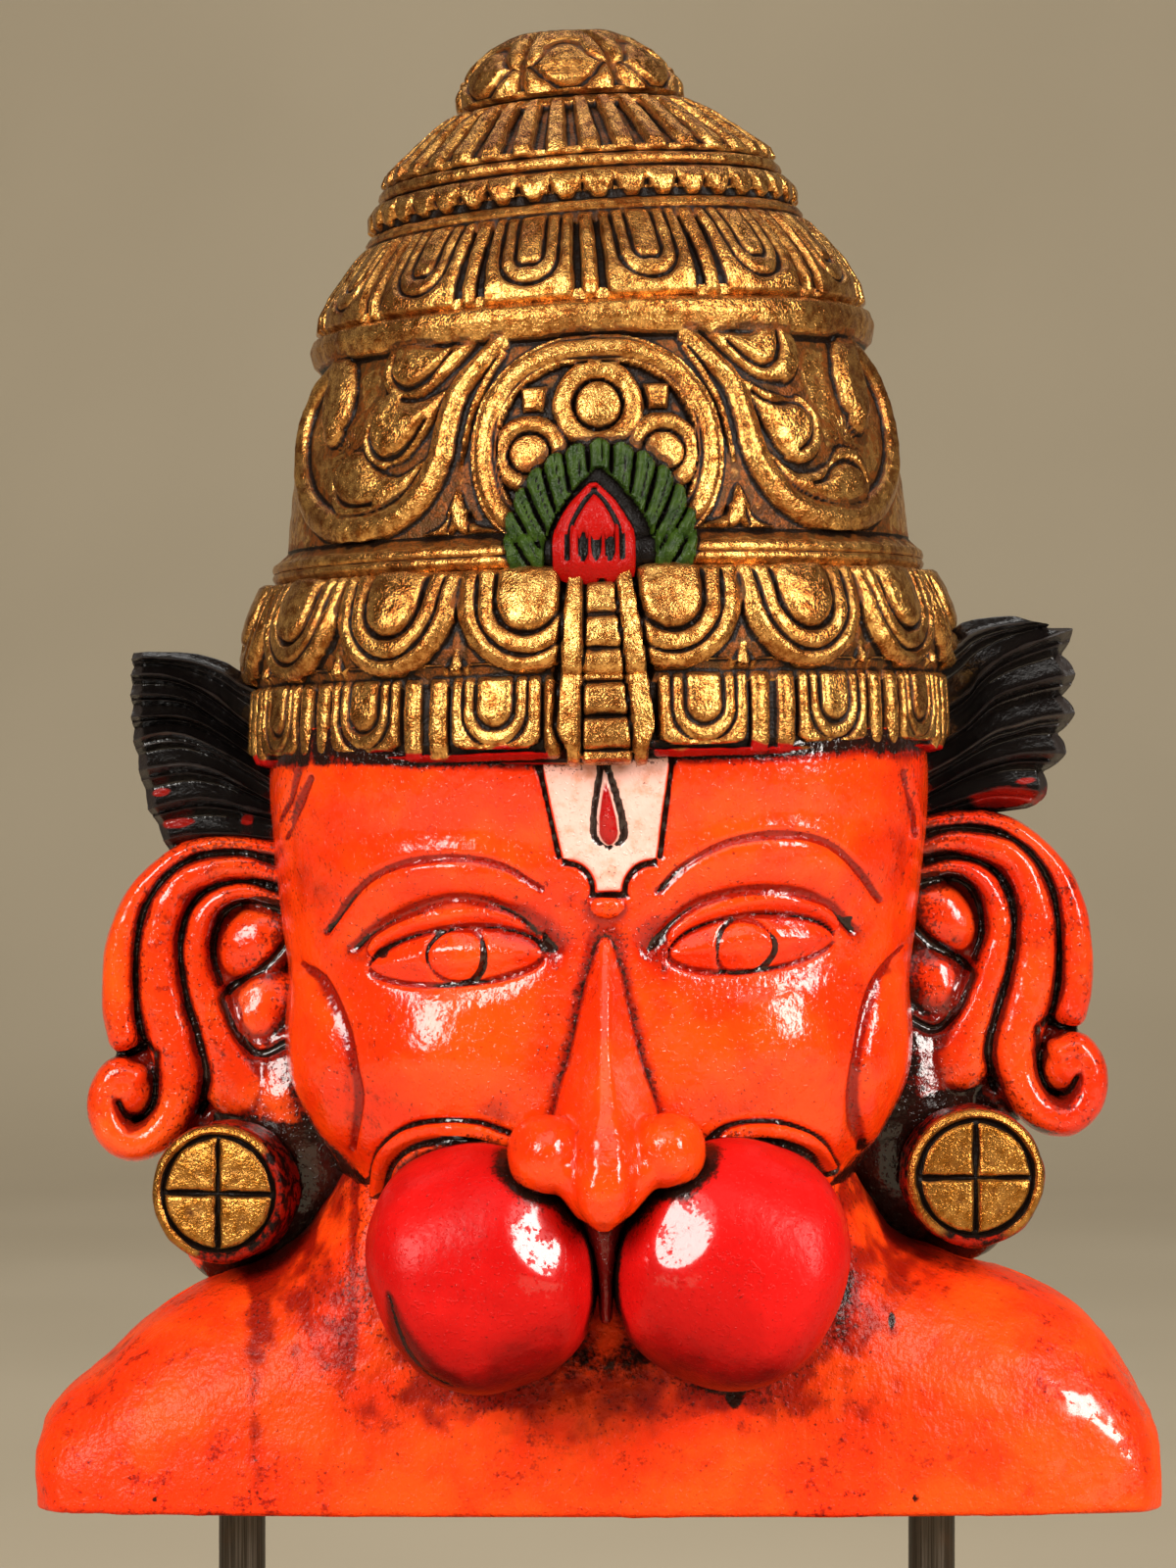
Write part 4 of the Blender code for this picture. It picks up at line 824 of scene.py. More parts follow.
def face_carving(across, up):
    """How far the face stands out from the head, its glaze and deeper red with their painted shade, and its
    mark and drop.
    """
    relief = 0.0 * across
    # Painted shade under the crown's rim: dark along its edge and deeper red below it; the deeper red at the
    # sides of the head by the temples is painted shade too.
    ink = 0.34 * ramp(157.4, 159.4, up - 0.024 * across)
    rouge = 0.6 * ramp(156.0, 160.0, up) + 0.5 * ramp(60.0, 66.0, np.abs(across)) * ramp(118.0, 126.0, up)
    rouge = rouge + brushed(across, up, ROUGE_AND_SHADE_SPOTS)
    for points, widths, shades in FACE_LINES:
        gap, along = path_distance(across, up, points)
        width = spread(widths, along)
        relief = relief - 1.1 * groove(gap, width)
        ink = ink + spread(shades, along) * groove(gap, width * 0.9)
        rouge = rouge + 0.8 * groove(gap, width * 2.4)
    jowl = np.interp(up, JOWL_LEVELS, JOWL_EDGES)
    beside = ramp(0.0, 5.0, np.abs(across) - jowl)
    relief = relief + 1.9 * beside * ramp(120.0, 112.0, up) * ramp(70.0, 80.0, up)
    for eye in EYES:
        hollow = np.hypot((across - eye["iris"][0]) / 24.0, (up - 121.0) / 13.0)
        ball, lines = eye_carving(across, up, eye)
        relief = relief - 2.4 * ramp(1.1, 0.4, hollow) + ball
        ink = ink + lines
    for (x, z), (wide, tall), (start, end), height in FACE_SWELLS:
        relief = relief + height * ramp(start, end, np.hypot((across - x) / wide, (up - z) / tall))
    for points, widths in STRIPS:
        inside = within_stroke(across, up, points, widths)
        relief = relief + 1.3 * ramp(-0.2, 0.6, inside) - 1.1 * groove(inside + 0.7, 0.6)
        ink = ink + 0.9 * groove(inside + 0.7, 0.5)
    tilak = tilak_edge(across, up)
    drop = drop_edge(across, up)
    relief = relief + 0.8 * ramp(-0.2, 0.7, tilak) - 1.0 * groove(tilak + 0.7, 0.6)
    relief = relief + 0.9 * ramp(0.0, 1.6, drop) - 1.1 * groove(drop + 0.8, 0.55)
    ink = (ink + 1.0 * groove(tilak + 0.6, 0.62) + 1.1 * groove(drop + 0.75, 0.6)
           + 0.8 * groove(drop + 1.5, 0.35))
    relief = relief + 1.5 * dome(np.hypot(across - 1.6, (up - 128.4) * 1.5), 3.4)
    return relief, ink + brushed(across, up, GLAZE_SPOTS), rouge, tilak, drop


relief, ink, rouge, tilak, drop = face_carving(np.array([-29.9]), np.array([118.4]))
print("The left eyeball stands", round(float(relief[0]), 2), "mm over the plain head")

# %% [markdown]
# The head is a squarish column, wider at the jowls than at the jaw. The grid's columns are crowded
# together on the front, where the brows, lids and eyes need fine lines, and spread out on the sides
# behind the ears.

# %% Head
HEAD_LEVELS = [40.0, 52.0, 62.0, 72.0, 80.0, 90.0, 100.0, 112.0, 124.0, 140.0, 156.0, 172.0]
HEAD_HALF_WIDTHS = [48.0, 51.0, 53.5, 57.0, 62.4, 67.2, 68.4, 67.6, 69.0, 70.8, 71.6, 70.0]
HEAD_DEPTHS = [42.0, 46.0, 52.0, 57.0, 60.0, 61.5, 62.0, 62.5, 63.5, 65.5, 68.4, 68.0]
HEAD_SQUARENESS = 2.7
HEAD_FOOT, HEAD_TOP, HEAD_STEP = 44.0, 166.0, 0.56
HEAD_GIRTH = (69.0, 62.5)
FACE_BACK = 34.0


def signed_power(value, power):
    """A number raised to a power with its sign kept, which squares or rounds a circle."""
    return np.sign(value) * np.abs(value) ** power


def head_levels(up, values):
    """Sizes given at the head's levels, eased between them."""
    curve = smooth_path(list(zip(HEAD_LEVELS, values)), 8)
    return np.interp(up, curve[:, 0], curve[:, 1])


def head_rows(step):
    """Closed loops round the head, fine in front and coarse behind the ears."""
    fine = np.linspace(math.pi, 0.0, 4000)
    power = 2.0 / HEAD_SQUARENESS
    x = HEAD_GIRTH[0] * signed_power(np.cos(fine), power)
    y = HEAD_GIRTH[1] * np.abs(np.sin(fine)) ** power
    run = np.hypot(np.diff(x), np.diff(y)) / np.where(y[1:] > FACE_BACK, step, step * 4)
    spent = np.concatenate([[0.0], np.cumsum(run)])
    turn = np.interp(np.linspace(0.0, spent[-1], int(spent[-1])), spent, fine)
    turn, up = np.meshgrid(turn, np.arange(HEAD_FOOT, HEAD_TOP, step))
    half, deep = head_levels(up, HEAD_HALF_WIDTHS), head_levels(up, HEAD_DEPTHS)
    across = half * signed_power(np.cos(turn), power)
    depth = deep * np.abs(np.sin(turn)) ** power
    normal = np.stack([across / half ** 2, depth / deep ** 2])
    normal = normal / (np.hypot(*normal) + 1e-9)
    relief, ink, rouge, tilak, drop = face_carving(across, up)
    relief = relief * ramp(20.0, FACE_BACK, depth)
    ink = ink + 0.8 * ramp(42.0, 28.0, depth) * ramp(98.0, 86.0, up)
    rows = np.stack([across + relief * normal[0], depth + relief * normal[1], up], axis=2)
    return rows, {"ink": ink, "rouge": rouge, "cream_paint": tilak, "red_paint": drop}


rows, marks = head_rows(HEAD_STEP)
head = lay_sheet("head", rows, marks)
print("head:", len(head.data.polygons), "faces")

# %% [markdown]
# Rounded forms that run into one another start as simple closed forms: a ball, which may be squared
# off and tilted, and a fat strand along a drawn line. Both are written as rows of loops, so the
# sheet maker can lay them.

# %% Balls and strands
STRAND_SIDES = 20
STRAND_ROUNDNESS = (0.75, 0.85)


def ball_loops(centre, radii, tilt, count, fullness=1.0):
    """Closed loops of a ball, turned by tilt degrees as the viewer sees it, squarer below 1."""
    turns = np.linspace(0, 2 * math.pi, 2 * count, endpoint=False)
    level, turn = np.meshgrid(np.radians(np.linspace(-88, 88, count)), turns)
    level, turn = level.T, turn.T
    reach = np.cos(level) ** fullness
    up = radii[2] * signed_power(np.sin(level), fullness)
    across = radii[0] * reach * np.cos(turn)
    lean = math.radians(tilt)
    return np.stack([
        centre[0] + across * math.cos(lean) - up * math.sin(lean),
        centre[1] + radii[1] * reach * np.sin(turn),
        centre[2] + across * math.sin(lean) + up * math.cos(lean),
    ], axis=2)


def strand_loops(points, widths, depth, thickness):
    """Closed loops of a fat strand along a drawn line, with its half widths along it."""
    path = smooth_path(points, 6)
    width = spread(widths, np.linspace(0, 1, len(path)))
    heading = np.gradient(path, axis=0)
    heading = heading / np.hypot(*heading.T)[:, None]
    turn = np.linspace(0.0, 2 * math.pi, STRAND_SIDES, endpoint=False)
    side_shape = signed_power(np.cos(turn), STRAND_ROUNDNESS[0])
    depth_shape = signed_power(np.sin(turn), STRAND_ROUNDNESS[1])
    places = [(0, -0.75), (0, -0.5), (0, -0.25)] + [(k, 0.0) for k in range(len(path))]
    places += [(len(path) - 1, 0.25), (len(path) - 1, 0.5), (len(path) - 1, 0.75)]
    rows = []
    for index, past in places:
        shrink = math.sqrt(1 - past ** 2)
        centre = path[index] + heading[index] * past * width[index]
        side = width[index] * shrink * side_shape
        rows.append(np.column_stack([
            centre[0] + side * heading[index][1],
            depth + thickness * shrink * depth_shape,
            centre[1] - side * heading[index][0],
        ]))
    return np.array(rows)


trial = strand_loops([(0, 0), (9, 0), (18, 0)], (1.0, 1.0), 0.0, 1.0)
print("A strand through 3 points has", len(trial), "loops")

# %% [markdown]
# The forms are then fused: the Remesh modifier wraps them all in one skin, and the Smooth modifier
# rounds the joins as sandpaper would. A bisect cuts what reaches behind the back.

# %% Fusing


def add_modifier(piece, kind, **settings):
    """Add a modifier, set it and apply it."""
    pick(piece)
    bpy.ops.object.modifier_add(type=kind)
    modifier = piece.modifiers[-1]
    for name, value in settings.items():
        setattr(modifier, name, value)
    bpy.ops.object.modifier_apply(modifier=modifier.name)


def fuse(name, forms, cell, smoothing=3):
    """One skin round several overlapping forms, cut off flat at the back."""
    parts = [lay_sheet(f"{name}_{index}", rows) for index, rows in enumerate(forms)]
    pick(*parts)
    bpy.ops.object.join()
    piece = bpy.context.object
    piece.name = piece.data.name = name
    add_modifier(piece, "REMESH", mode="VOXEL", voxel_size=cell * MM, use_smooth_shade=True)
    add_modifier(piece, "SMOOTH", factor=0.5, iterations=smoothing)
    bpy.ops.object.mode_set(mode="EDIT")
    bpy.ops.mesh.select_all(action="SELECT")
    bpy.ops.mesh.bisect(plane_co=(0.0, BACK * MM, 0.0), plane_no=(0.0, 1.0, 0.0), use_fill=True,
                        clear_outer=True)
    bpy.ops.object.mode_set(mode="OBJECT")
    bpy.ops.object.shade_smooth_by_angle(angle=math.radians(60))
    return piece


print("Forms are fused with Remesh and Smooth, and cut off at y =", round(BACK, 2), "mm")

# %% [markdown]
# The nose is a long wedge that grows out of the brow, with two round bulbs at its foot and a wing
# running from each bulb to the tip. The wedge is a stack of sections, each with a narrow crest.

# %% Nose
NOSE_BACK = 56.0
SECTION_POINTS = 60
FUSE_CELL = 0.6
NOSE_SECTIONS = [
    (125.0, 1.4, 2.6, 61.0, 0.5, 1.3), (121.0, 1.2, 4.8, 64.5, 0.8, 1.2), (116.0, 1.1, 6.2, 67.6, 0.9, 1.1),
    (110.0, 1.0, 7.4, 70.6, 1.0, 1.05), (104.0, 1.0, 8.6, 73.6, 1.0, 1.0), (97.0, 1.0, 10.0, 77.0, 1.1, 1.1),
    (91.0, 1.1, 11.4, 80.2, 1.2, 1.3), (86.0, 1.3, 12.2, 83.0, 1.3, 1.6), (82.0, 1.4, 12.4, 85.2, 1.4, 1.9),
    (78.0, 1.4, 12.6, 87.0, 1.6, 2.0), (75.0, 1.3, 12.6, 88.0, 1.7, 2.1), (72.5, 1.1, 12.4, 88.4, 1.8, 2.2),
    (70.0, 1.0, 11.6, 88.2, 1.8, 2.3), (67.6, 0.9, 9.4, 87.2, 1.6, 2.3), (65.4, 0.8, 6.6, 85.6, 1.4, 2.2),
    (63.4, 0.8, 3.4, 82.5, 0.8, 2.0),
]


def loops_along(sections, back):
    """Closed loops at each level: a straight back edge, sloping sides and a crest.

    A section is its level, its centre, its half width, its front, its crest's half width and how
    round its sides are.
    """
    rows = []
    share = np.linspace(-1.0, 1.0, SECTION_POINTS)
    for level, centre, half, front, crest, round_sides in sections:
        fall = np.clip((np.abs(share) * half - crest) / (half - crest), 0.0, 1.0) ** round_sides
        depth = back + (front - back) * (1 - fall)
        rows.append(np.column_stack([centre + share * half, depth, np.full(SECTION_POINTS, level)]))
    return np.array(rows)


nose_forms = [
    loops_along(NOSE_SECTIONS, NOSE_BACK),
    ball_loops((-10.9, 73.6, 78.2), (8.0, 11.0, 8.2), 0, 30, 0.86),
    ball_loops((13.8, 73.6, 79.0), (7.9, 11.0, 7.8), 0, 30, 0.86),
    strand_loops([(-10.0, 76.4), (-5.6, 73.8), (-1.6, 69.2)], (4.6, 4.6, 4.6), 74.0, 9.4),
    strand_loops([(13.0, 77.4), (8.0, 74.4), (3.4, 69.4)], (4.4, 4.6, 4.6), 74.0, 9.4),
]
nose = fuse("nose", nose_forms, FUSE_CELL)
print("nose:", len(nose.data.polygons), "faces")

# %% [markdown]
# Some lines cross a form that is already made, as on the balls and the ears. They are pressed into it: points
# near a drawn line are set back, as far as they face the viewer, and the same distance marks where glaze and
# deeper red lie. The broad deeper red beside each line is also painted shade in the crease.

# %% Pressed lines


def read_directions(piece):
    """The directions in which a piece's points face, as numbers."""
    directions = np.empty(len(piece.data.vertices) * 3)
    piece.data.vertex_normals.foreach_get("vector", directions)
    return directions.reshape(-1, 3)


def press_lines(piece, lines, place, stain):
    """Press drawn lines into the front of a piece, and mark the dark glaze that lies in them."""
    points = read_places(piece)
    across, _, up = to_carver(points)
    across, up = place(across, up)
    facing = np.clip(-read_directions(piece)[:, 1], 0.0, 1.0)
    ink, rouge = np.zeros(len(points)), np.zeros(len(points))
    for path, widths, deep in lines:
        gap, along = path_distance(across, up, path)
        width = spread(widths, along)
        points[:, 1] += deep * groove(gap, width) * facing * MM
        ink = np.maximum(ink, groove(gap, width * 0.85))
        # A broad band of deeper red beside the line: red glaze, and painted shade in the crease.
        rouge = np.maximum(rouge, 1.2 * groove(gap, width * 3.6))
    ink = np.maximum(ink, stain(across, up))
    write_places(piece, points)
    mark(piece, "ink", ink)
    mark(piece, "rouge", rouge)


print("Points of the nose that face the viewer:", int((read_directions(nose)[:, 1] < -0.5).sum()))

# %% [markdown]
# The two ball cheeks are near copies: full, slightly square eggs that lean towards each other. Each
# is a sphere, swelled by a power of its own roundness, then resized, turned and moved in edit mode,
# so that the object itself stays at the origin. A nearly flat facet is pared where each ball faces
# its soft box, because a broad pale patch on the real ball shows that it is flatter there.

# %% Ball cheeks
BALLS = {
    "ball_left": {"centre": (-24.2, 57.0, 54.0), "radii": (22.9, 28.0, 26.0), "tilt": 22},
    "ball_right": {"centre": (27.2, 57.0, 54.8), "radii": (23.4, 28.0, 26.0), "tilt": -24},
}
BALL_FULLNESS = 0.9
BALL_FLATNESS = (0.5, 0.66)
BALL_FACETS = {"ball_left": (24.0, 17.0, 1.2), "ball_right": (-19.0, 17.0, 1.3)}
FACET_PARING = 0.85
BALL_LINES = {
    "ball_left": ([(-42.6, 50.6), (-41.2, 45.2), (-38.8, 39.0), (-35.0, 34.4), (-30.0, 31.6)],
                  (0.3, 0.7, 0.8, 0.5), 0.8),
    "ball_right": ([(3.6, 45.0), (5.0, 39.0), (8.2, 33.6), (13.0, 29.8), (20.2, 28.4)],
                   (0.3, 0.7, 0.8, 0.4), 0.8),
}
BALL_POLISH = {"ball_left": ((-11.6, 59.5), (7.0, 10.6), 1.0), "ball_right": ((15.4, 61.0), (8.4, 9.8), 1.0)}


def swell(piece, outer_side):
    """Make a unit sphere fuller and slightly square, less so on its outer side."""
    places = read_places(piece)
    reach = np.maximum(np.hypot(places[:, 0], places[:, 1]), 1e-6)
    flatness = np.where(places[:, 0] * outer_side > 0, *BALL_FLATNESS)
    shares = np.abs(places[:, :2] / reach[:, None]) ** flatness[:, None]
    places[:, :2] = np.sign(places[:, :2]) * shares * (reach ** BALL_FULLNESS)[:, None]
    places[:, 2] = signed_power(places[:, 2], BALL_FULLNESS)
    write_places(piece, places)


def pare_facet(piece, side, lift, deep):
    """Pare a piece nearly flat, deep millimetres in, where it faces side and lift in degrees."""
    side, lift = math.radians(side), math.radians(lift)
    outward = np.array([math.sin(side) * math.cos(lift), -math.cos(side) * math.cos(lift), math.sin(lift)])
    places = read_places(piece)
    height = places @ outward
    above = np.maximum(height - height.max() + deep * MM, 0.0)
    write_places(piece, places - FACET_PARING * above[:, None] * outward)


def add_ball(name, centre, radii, tilt):
    """One ball cheek."""
    pick_nothing()
    bpy.ops.mesh.primitive_uv_sphere_add(segments=150, ring_count=90, radius=1.0)
    piece = bpy.context.object
    piece.name = piece.data.name = name
    swell(piece, centre[0])
    bpy.ops.object.mode_set(mode="EDIT")
    bpy.ops.mesh.select_all(action="SELECT")
    bpy.ops.transform.resize(value=tuple(r * MM for r in radii))
    bpy.ops.transform.rotate(value=math.radians(tilt), orient_axis="Y", center_override=(0.0, 0.0, 0.0))
    bpy.ops.transform.translate(value=tuple(to_world(centre)))
    bpy.ops.object.mode_set(mode="OBJECT")
    pare_facet(piece, *BALL_FACETS[name])
    bpy.ops.object.shade_smooth()
    return piece


balls = [add_ball(name, **shape) for name, shape in BALLS.items()]
for piece in balls:
    press_lines(piece, [BALL_LINES[piece.name]], lambda across, up: (across, up), lambda across, up: 0.0)
    across, depth, up = to_carver(read_places(piece))
    mark(piece, "polish", brushed(across, up, [BALL_POLISH[piece.name]]))
    print(piece.name, "is", round(float(across.max() - across.min()), 1), "mm wide")

# %% [markdown]
# A thin lip of wood stands between the balls, below the nose. It is one strand that narrows down.

# %% Lip
LIP_LINE, LIP_WIDTHS = [(0.9, 66.0), (1.1, 60.0), (1.3, 52.0), (1.3, 44.0)], (6.0, 3.4, 1.9, 1.4)
LIP_DEPTH, LIP_THICKNESS = 62.0, 8.0
lip = fuse("lip", [strand_loops(LIP_LINE, LIP_WIDTHS, LIP_DEPTH, LIP_THICKNESS)], FUSE_CELL)
print("lip:", len(lip.data.polygons), "faces")

# %% [markdown]
# The shoulders are one low block, rounded along the top and cut straight below, where the rods go in. Loops
# across the block, each with a flat back and a soft front corner, give its shape. The stains that run down
# from the ears are noted as soft touches, and so is the dark under the balls, which is glaze and painted
# shadow together.

# %% Shape, stains and painted shadow of the shoulders
CHEST_SIDES = [0.0, 44.0, 52.0, 58.0, 64.0, 74.0, 86.0, 96.0, 104.0, 111.0, 116.0, 119.4, 120.6, 121.0]
CHEST_TOPS = [88.0, 86.0, 77.0, 66.0, 57.5, 51.0, 47.4, 42.6, 36.6, 29.4, 23.4, 18.0, 14.0, 10.0]
# Touches of deeper red: drips and stains down from the ears and beside the neck, and painted shade under the
# balls.
CHEST_REDS_AND_SHADE = [
    ((-72.4, 46.0), (2.6, 16.0), 0.5), ((-72.4, 22.0), (2.0, 18.0), 0.55), ((-72.0, 3.0), (2.2, 6.0), 0.7),
    ((-60.0, 50.0), (16.0, 9.0), 0.5), ((-58.0, 36.0), (14.0, 9.0), 0.4), ((-114.0, 9.0), (2.8, 11.0), 0.5),
    ((-52.0, 48.0), (6.0, 20.0), 0.5), ((52.0, 50.0), (7.0, 20.0), 0.6), ((56.0, 40.0), (9.0, 8.0), 0.4),
    ((2.0, 27.0), (44.0, 7.0), 0.7), ((-30.0, 24.0), (16.0, 5.0), 0.4), ((34.0, 26.0), (16.0, 6.0), 0.5),
    ((-98.0, 36.0), (10.0, 5.0), 0.3), ((70.0, 48.0), (8.0, 6.0), 0.35),
]
# Touches of dark glaze: black spots and stains beside the neck, and a painted shadow under and between the
# balls.
CHEST_INKS_AND_SHADOW = [
    ((2.0, 32.0), (11.0, 5.0), 0.7), ((-20.0, 27.0), (14.0, 2.0), 0.3), ((26.0, 27.4), (14.0, 2.4), 0.35),
    ((-93.6, 3.4), (0.8, 0.8), 1.4), ((28.5, 24.6), (1.5, 2.6), 1.0), ((66.4, 3.6), (1.2, 1.6), 1.2),
    ((69.6, 1.6), (2.2, 0.8), 1.1), ((61.6, 40.6), (0.9, 2.0), 1.1), ((51.0, 46.0), (4.0, 12.0), 0.45),
    ((53.0, 34.0), (7.0, 5.0), 0.3), ((-49.0, 46.0), (2.6, 14.0), 0.35), ((-119.8, 14.0), (1.0, 8.0), 0.6),
]
CHEST_POLISH = [((105.0, 17.0), (13.0, 17.0), 1.0)]
print("The shoulders are", 2 * CHEST_SIDES[-1], "mm wide")

# %% [markdown]
# Each loop is a section through the block: back edge, underside, front corner and a curve up to the
# shoulder line. The neck and the shoulders share one outline, which is a little wider on the right.

# %% Shoulders
CHEST_SHIFT = 4.6
CHEST_CORNER = 1.6
CHEST_ROUNDNESS = 0.72
CHEST_END, CHEST_STEP, CHEST_GIRTH = 119.6, 0.9, 110


def chest_rows(step):
    """Closed loops across the shoulders and neck, from one end to the other."""
    outline = smooth_path(list(zip(CHEST_SIDES, CHEST_TOPS)), 6)
    rows = []
    for across in np.linspace(-CHEST_END, CHEST_END, int(2 * CHEST_END / step)):
        side = abs(across)
        shift = CHEST_SHIFT * np.sign(across) * ramp(62.0, 82.0, side) * ramp(121.0, 104.0, side)
        top = np.interp(side - shift, outline[:, 0], outline[:, 1])
        deep = 47.0 - 8.0 * (side / 121.0) ** 3 - 9.0 * ramp(112.0, 122.0, side) ** 2
        foot = 0.8 * ramp(119.0, 121.0, side)
        turn = np.linspace(0.0, math.pi / 2, 400)
        depth = deep * np.cos(turn) ** CHEST_ROUNDNESS
        height = foot + CHEST_CORNER + (top - CHEST_CORNER - foot) * np.sin(turn) ** CHEST_ROUNDNESS
        corner = np.linspace(-math.pi / 2, 0.0, 40)[:-1]
        depth = np.concatenate([deep - CHEST_CORNER + CHEST_CORNER * np.cos(corner), depth])
        height = np.concatenate([foot + CHEST_CORNER + CHEST_CORNER * np.sin(corner), height])
        front = evenly(np.column_stack([depth, height]), 0.1)
        places = np.linspace(0, len(front) - 1, int(CHEST_GIRTH / step)).astype(int)
        front = front[places]
        loop = np.vstack([[(0.0, foot), (deep * 0.3, foot * 0.5), (deep * 0.6, foot * 0.5)], front])
        rows.append(np.column_stack([np.full(len(loop), across), loop]))
    return np.array(rows)


rows = chest_rows(CHEST_STEP)
across, up = rows[..., 0], rows[..., 2]
touches = {"rouge": CHEST_REDS_AND_SHADE, "ink": CHEST_INKS_AND_SHADOW, "polish": CHEST_POLISH}
chest = lay_sheet("chest", rows, {name: brushed(across, up, spots) for name, spots in touches.items()})
print("chest:", len(chest.data.polygons), "faces")

# %% [markdown]
# An ear is three bands that run over the top together: the outer one stops short, the middle one
# sweeps down into a curl, and the inner one swells into the lobe. They are drawn as strands, with
# balls as pads below and between them, and with the dark lines that part them.

# %% Drawing of the ear
EAR_STRANDS = [
    ([(66, 138.5), (78, 140.6), (87, 140.0), (93.5, 136.4), (100, 129.1), (103.4, 120.1), (104.2, 111),
      (104, 104), (103.2, 98.8)],
     (2.4, 2.2, 2.2, 2.5, 3.1, 3.7, 4.0, 4.0, 3.7), 8.0),
    ([(66, 133), (76, 136.1), (85, 134.9), (91.5, 131.1), (95.2, 122.1), (95.5, 114.1), (94.5, 106),
      (92.5, 98), (90.8, 90), (92.2, 83), (96.5, 77.4), (102.1, 75.8), (106.3, 79.4), (107.2, 85.6),
      (104.6, 90.6), (100.6, 90.2)],
     (2.8, 3.6, 3.9, 4.4, 4.8, 5.2, 5.8, 6.0, 5.6, 4.8, 4.3, 4.2, 4.2, 4.2, 4.0, 3.2), 8.6),
    ([(66, 128), (77, 130.6), (84, 127.6), (87.2, 121.1), (87.5, 114.1), (85.2, 106), (82.5, 98), (79, 89.6),
      (74, 86.4)],
     (2.0, 2.4, 2.8, 3.4, 3.9, 5.2, 6.2, 8.0, 7.4), 7.8),
]
EAR_PADS = [
    ((103.0, 6.0, 87.4), (6.4, 9.0, 6.4), 0), ((74.4, 5.0, 119.4), (10.8, 7.4, 8.2), -38),
    ((73.0, 5.0, 103.6), (8.4, 7.0, 11.4), 14), ((72.0, 4.0, 92.0), (13.0, 9.0, 11.4), 0),
    ((84.0, 0.0, 114.0), (18.0, 8.6, 25.0), 0), ((90.0, 0.0, 92.0), (11.0, 8.0, 14.0), 0),
    ((78.0, 0.0, 82.0), (9.0, 9.0, 12.0), 0), ((80.0, 0.0, 58.0), (12.0, 9.0, 14.0), 0),
    ((64.0, 0.0, 78.0), (20.0, 17.0, 32.0), 0), ((99.6, 0.0, 96.4), (6.2, 7.6, 6.2), 0),
    ((86.0, 0.0, 80.0), (9.0, 8.0, 8.0), 0),
]
EAR_LINES = [
    ([(67, 136), (77, 138.7), (87, 137.8), (94, 133.6), (98.8, 126.1), (100.4, 116.1), (100.4, 108),
      (99.4, 100), (97.0, 96.4)], (0.7, 0.7, 0.8, 0.9, 0.9), 1.8),
    ([(67, 130.1), (75, 132.4), (82, 131.9), (87, 129.3), (90, 124.1), (90.5, 116.1), (88.9, 106), (86.4, 98),
      (84.9, 90), (87, 83)], (0.7, 0.7, 0.8, 1.0, 1.2), 2.2),
    ([(67, 127.1), (74, 128.6), (80, 127.6), (83.3, 122.6), (83.9, 116.1), (82.3, 110.4)],
     (0.7, 0.8, 0.7), 1.5),
    ([(67, 120.6), (72, 114.6), (77, 111.5), (81.5, 108.0), (80.5, 104), (78.5, 99.5), (75.5, 96.3),
      (72.5, 95.3), (68, 97.5)], (0.9, 0.9, 1.0, 0.8), 2.0),
    ([(95.8, 95.4), (96.2, 88), (97.0, 83.6), (99.4, 81.2), (102.4, 81.8), (104.0, 84.8)],
     (1.0, 0.8, 0.6), 2.2),
    ([(99.0, 97.0), (103.0, 95.4), (107.6, 95.2)], (1.2, 1.2), 2.4),
]
print("An ear:", len(EAR_STRANDS), "bands,", len(EAR_PADS), "pads and", len(EAR_LINES), "lines")

# %% [markdown]
# The strands and pads are fused into one plate, and the lines are pressed in. The second ear is the
# first one mirrored, sitting a little higher, as on the real bust.

# %% Ears
RIGHT_EAR = (-0.6, 5.4)
EAR_CELL = 0.62


def add_ear(name, side):
    """One ear, with side -1 for the viewer's left."""
    shift, lift = RIGHT_EAR if side > 0 else (0.0, 0.0)
    forms = []
    for points, widths, thickness in EAR_STRANDS:
        line = [(side * (x + shift), z + lift) for x, z in points]
        forms.append(strand_loops(line, widths, 6.5, thickness))
    for (x, deep, z), radii, tilt in EAR_PADS:
        forms.append(ball_loops((side * (x + shift), deep, z + lift), radii, side * tilt, 20))
    piece = fuse(name, forms, EAR_CELL, 2)
    press_lines(piece, EAR_LINES, lambda across, up: (side * across - shift, up - lift),
                lambda across, up: 0.75 * ramp(84.0, 77.0, up) * ramp(90.0, 84.0, across))
    return piece


ears = [add_ear("ear_left", -1), add_ear("ear_right", 1)]
print("ears:", [len(piece.data.polygons) for piece in ears], "faces")

# %% [markdown]
# Above each ear a tuft of hair fans out in blades that lie side by side. Only the crest of each
# blade is drawn, from its root to its tip, and the two sides differ as they do on the real bust.

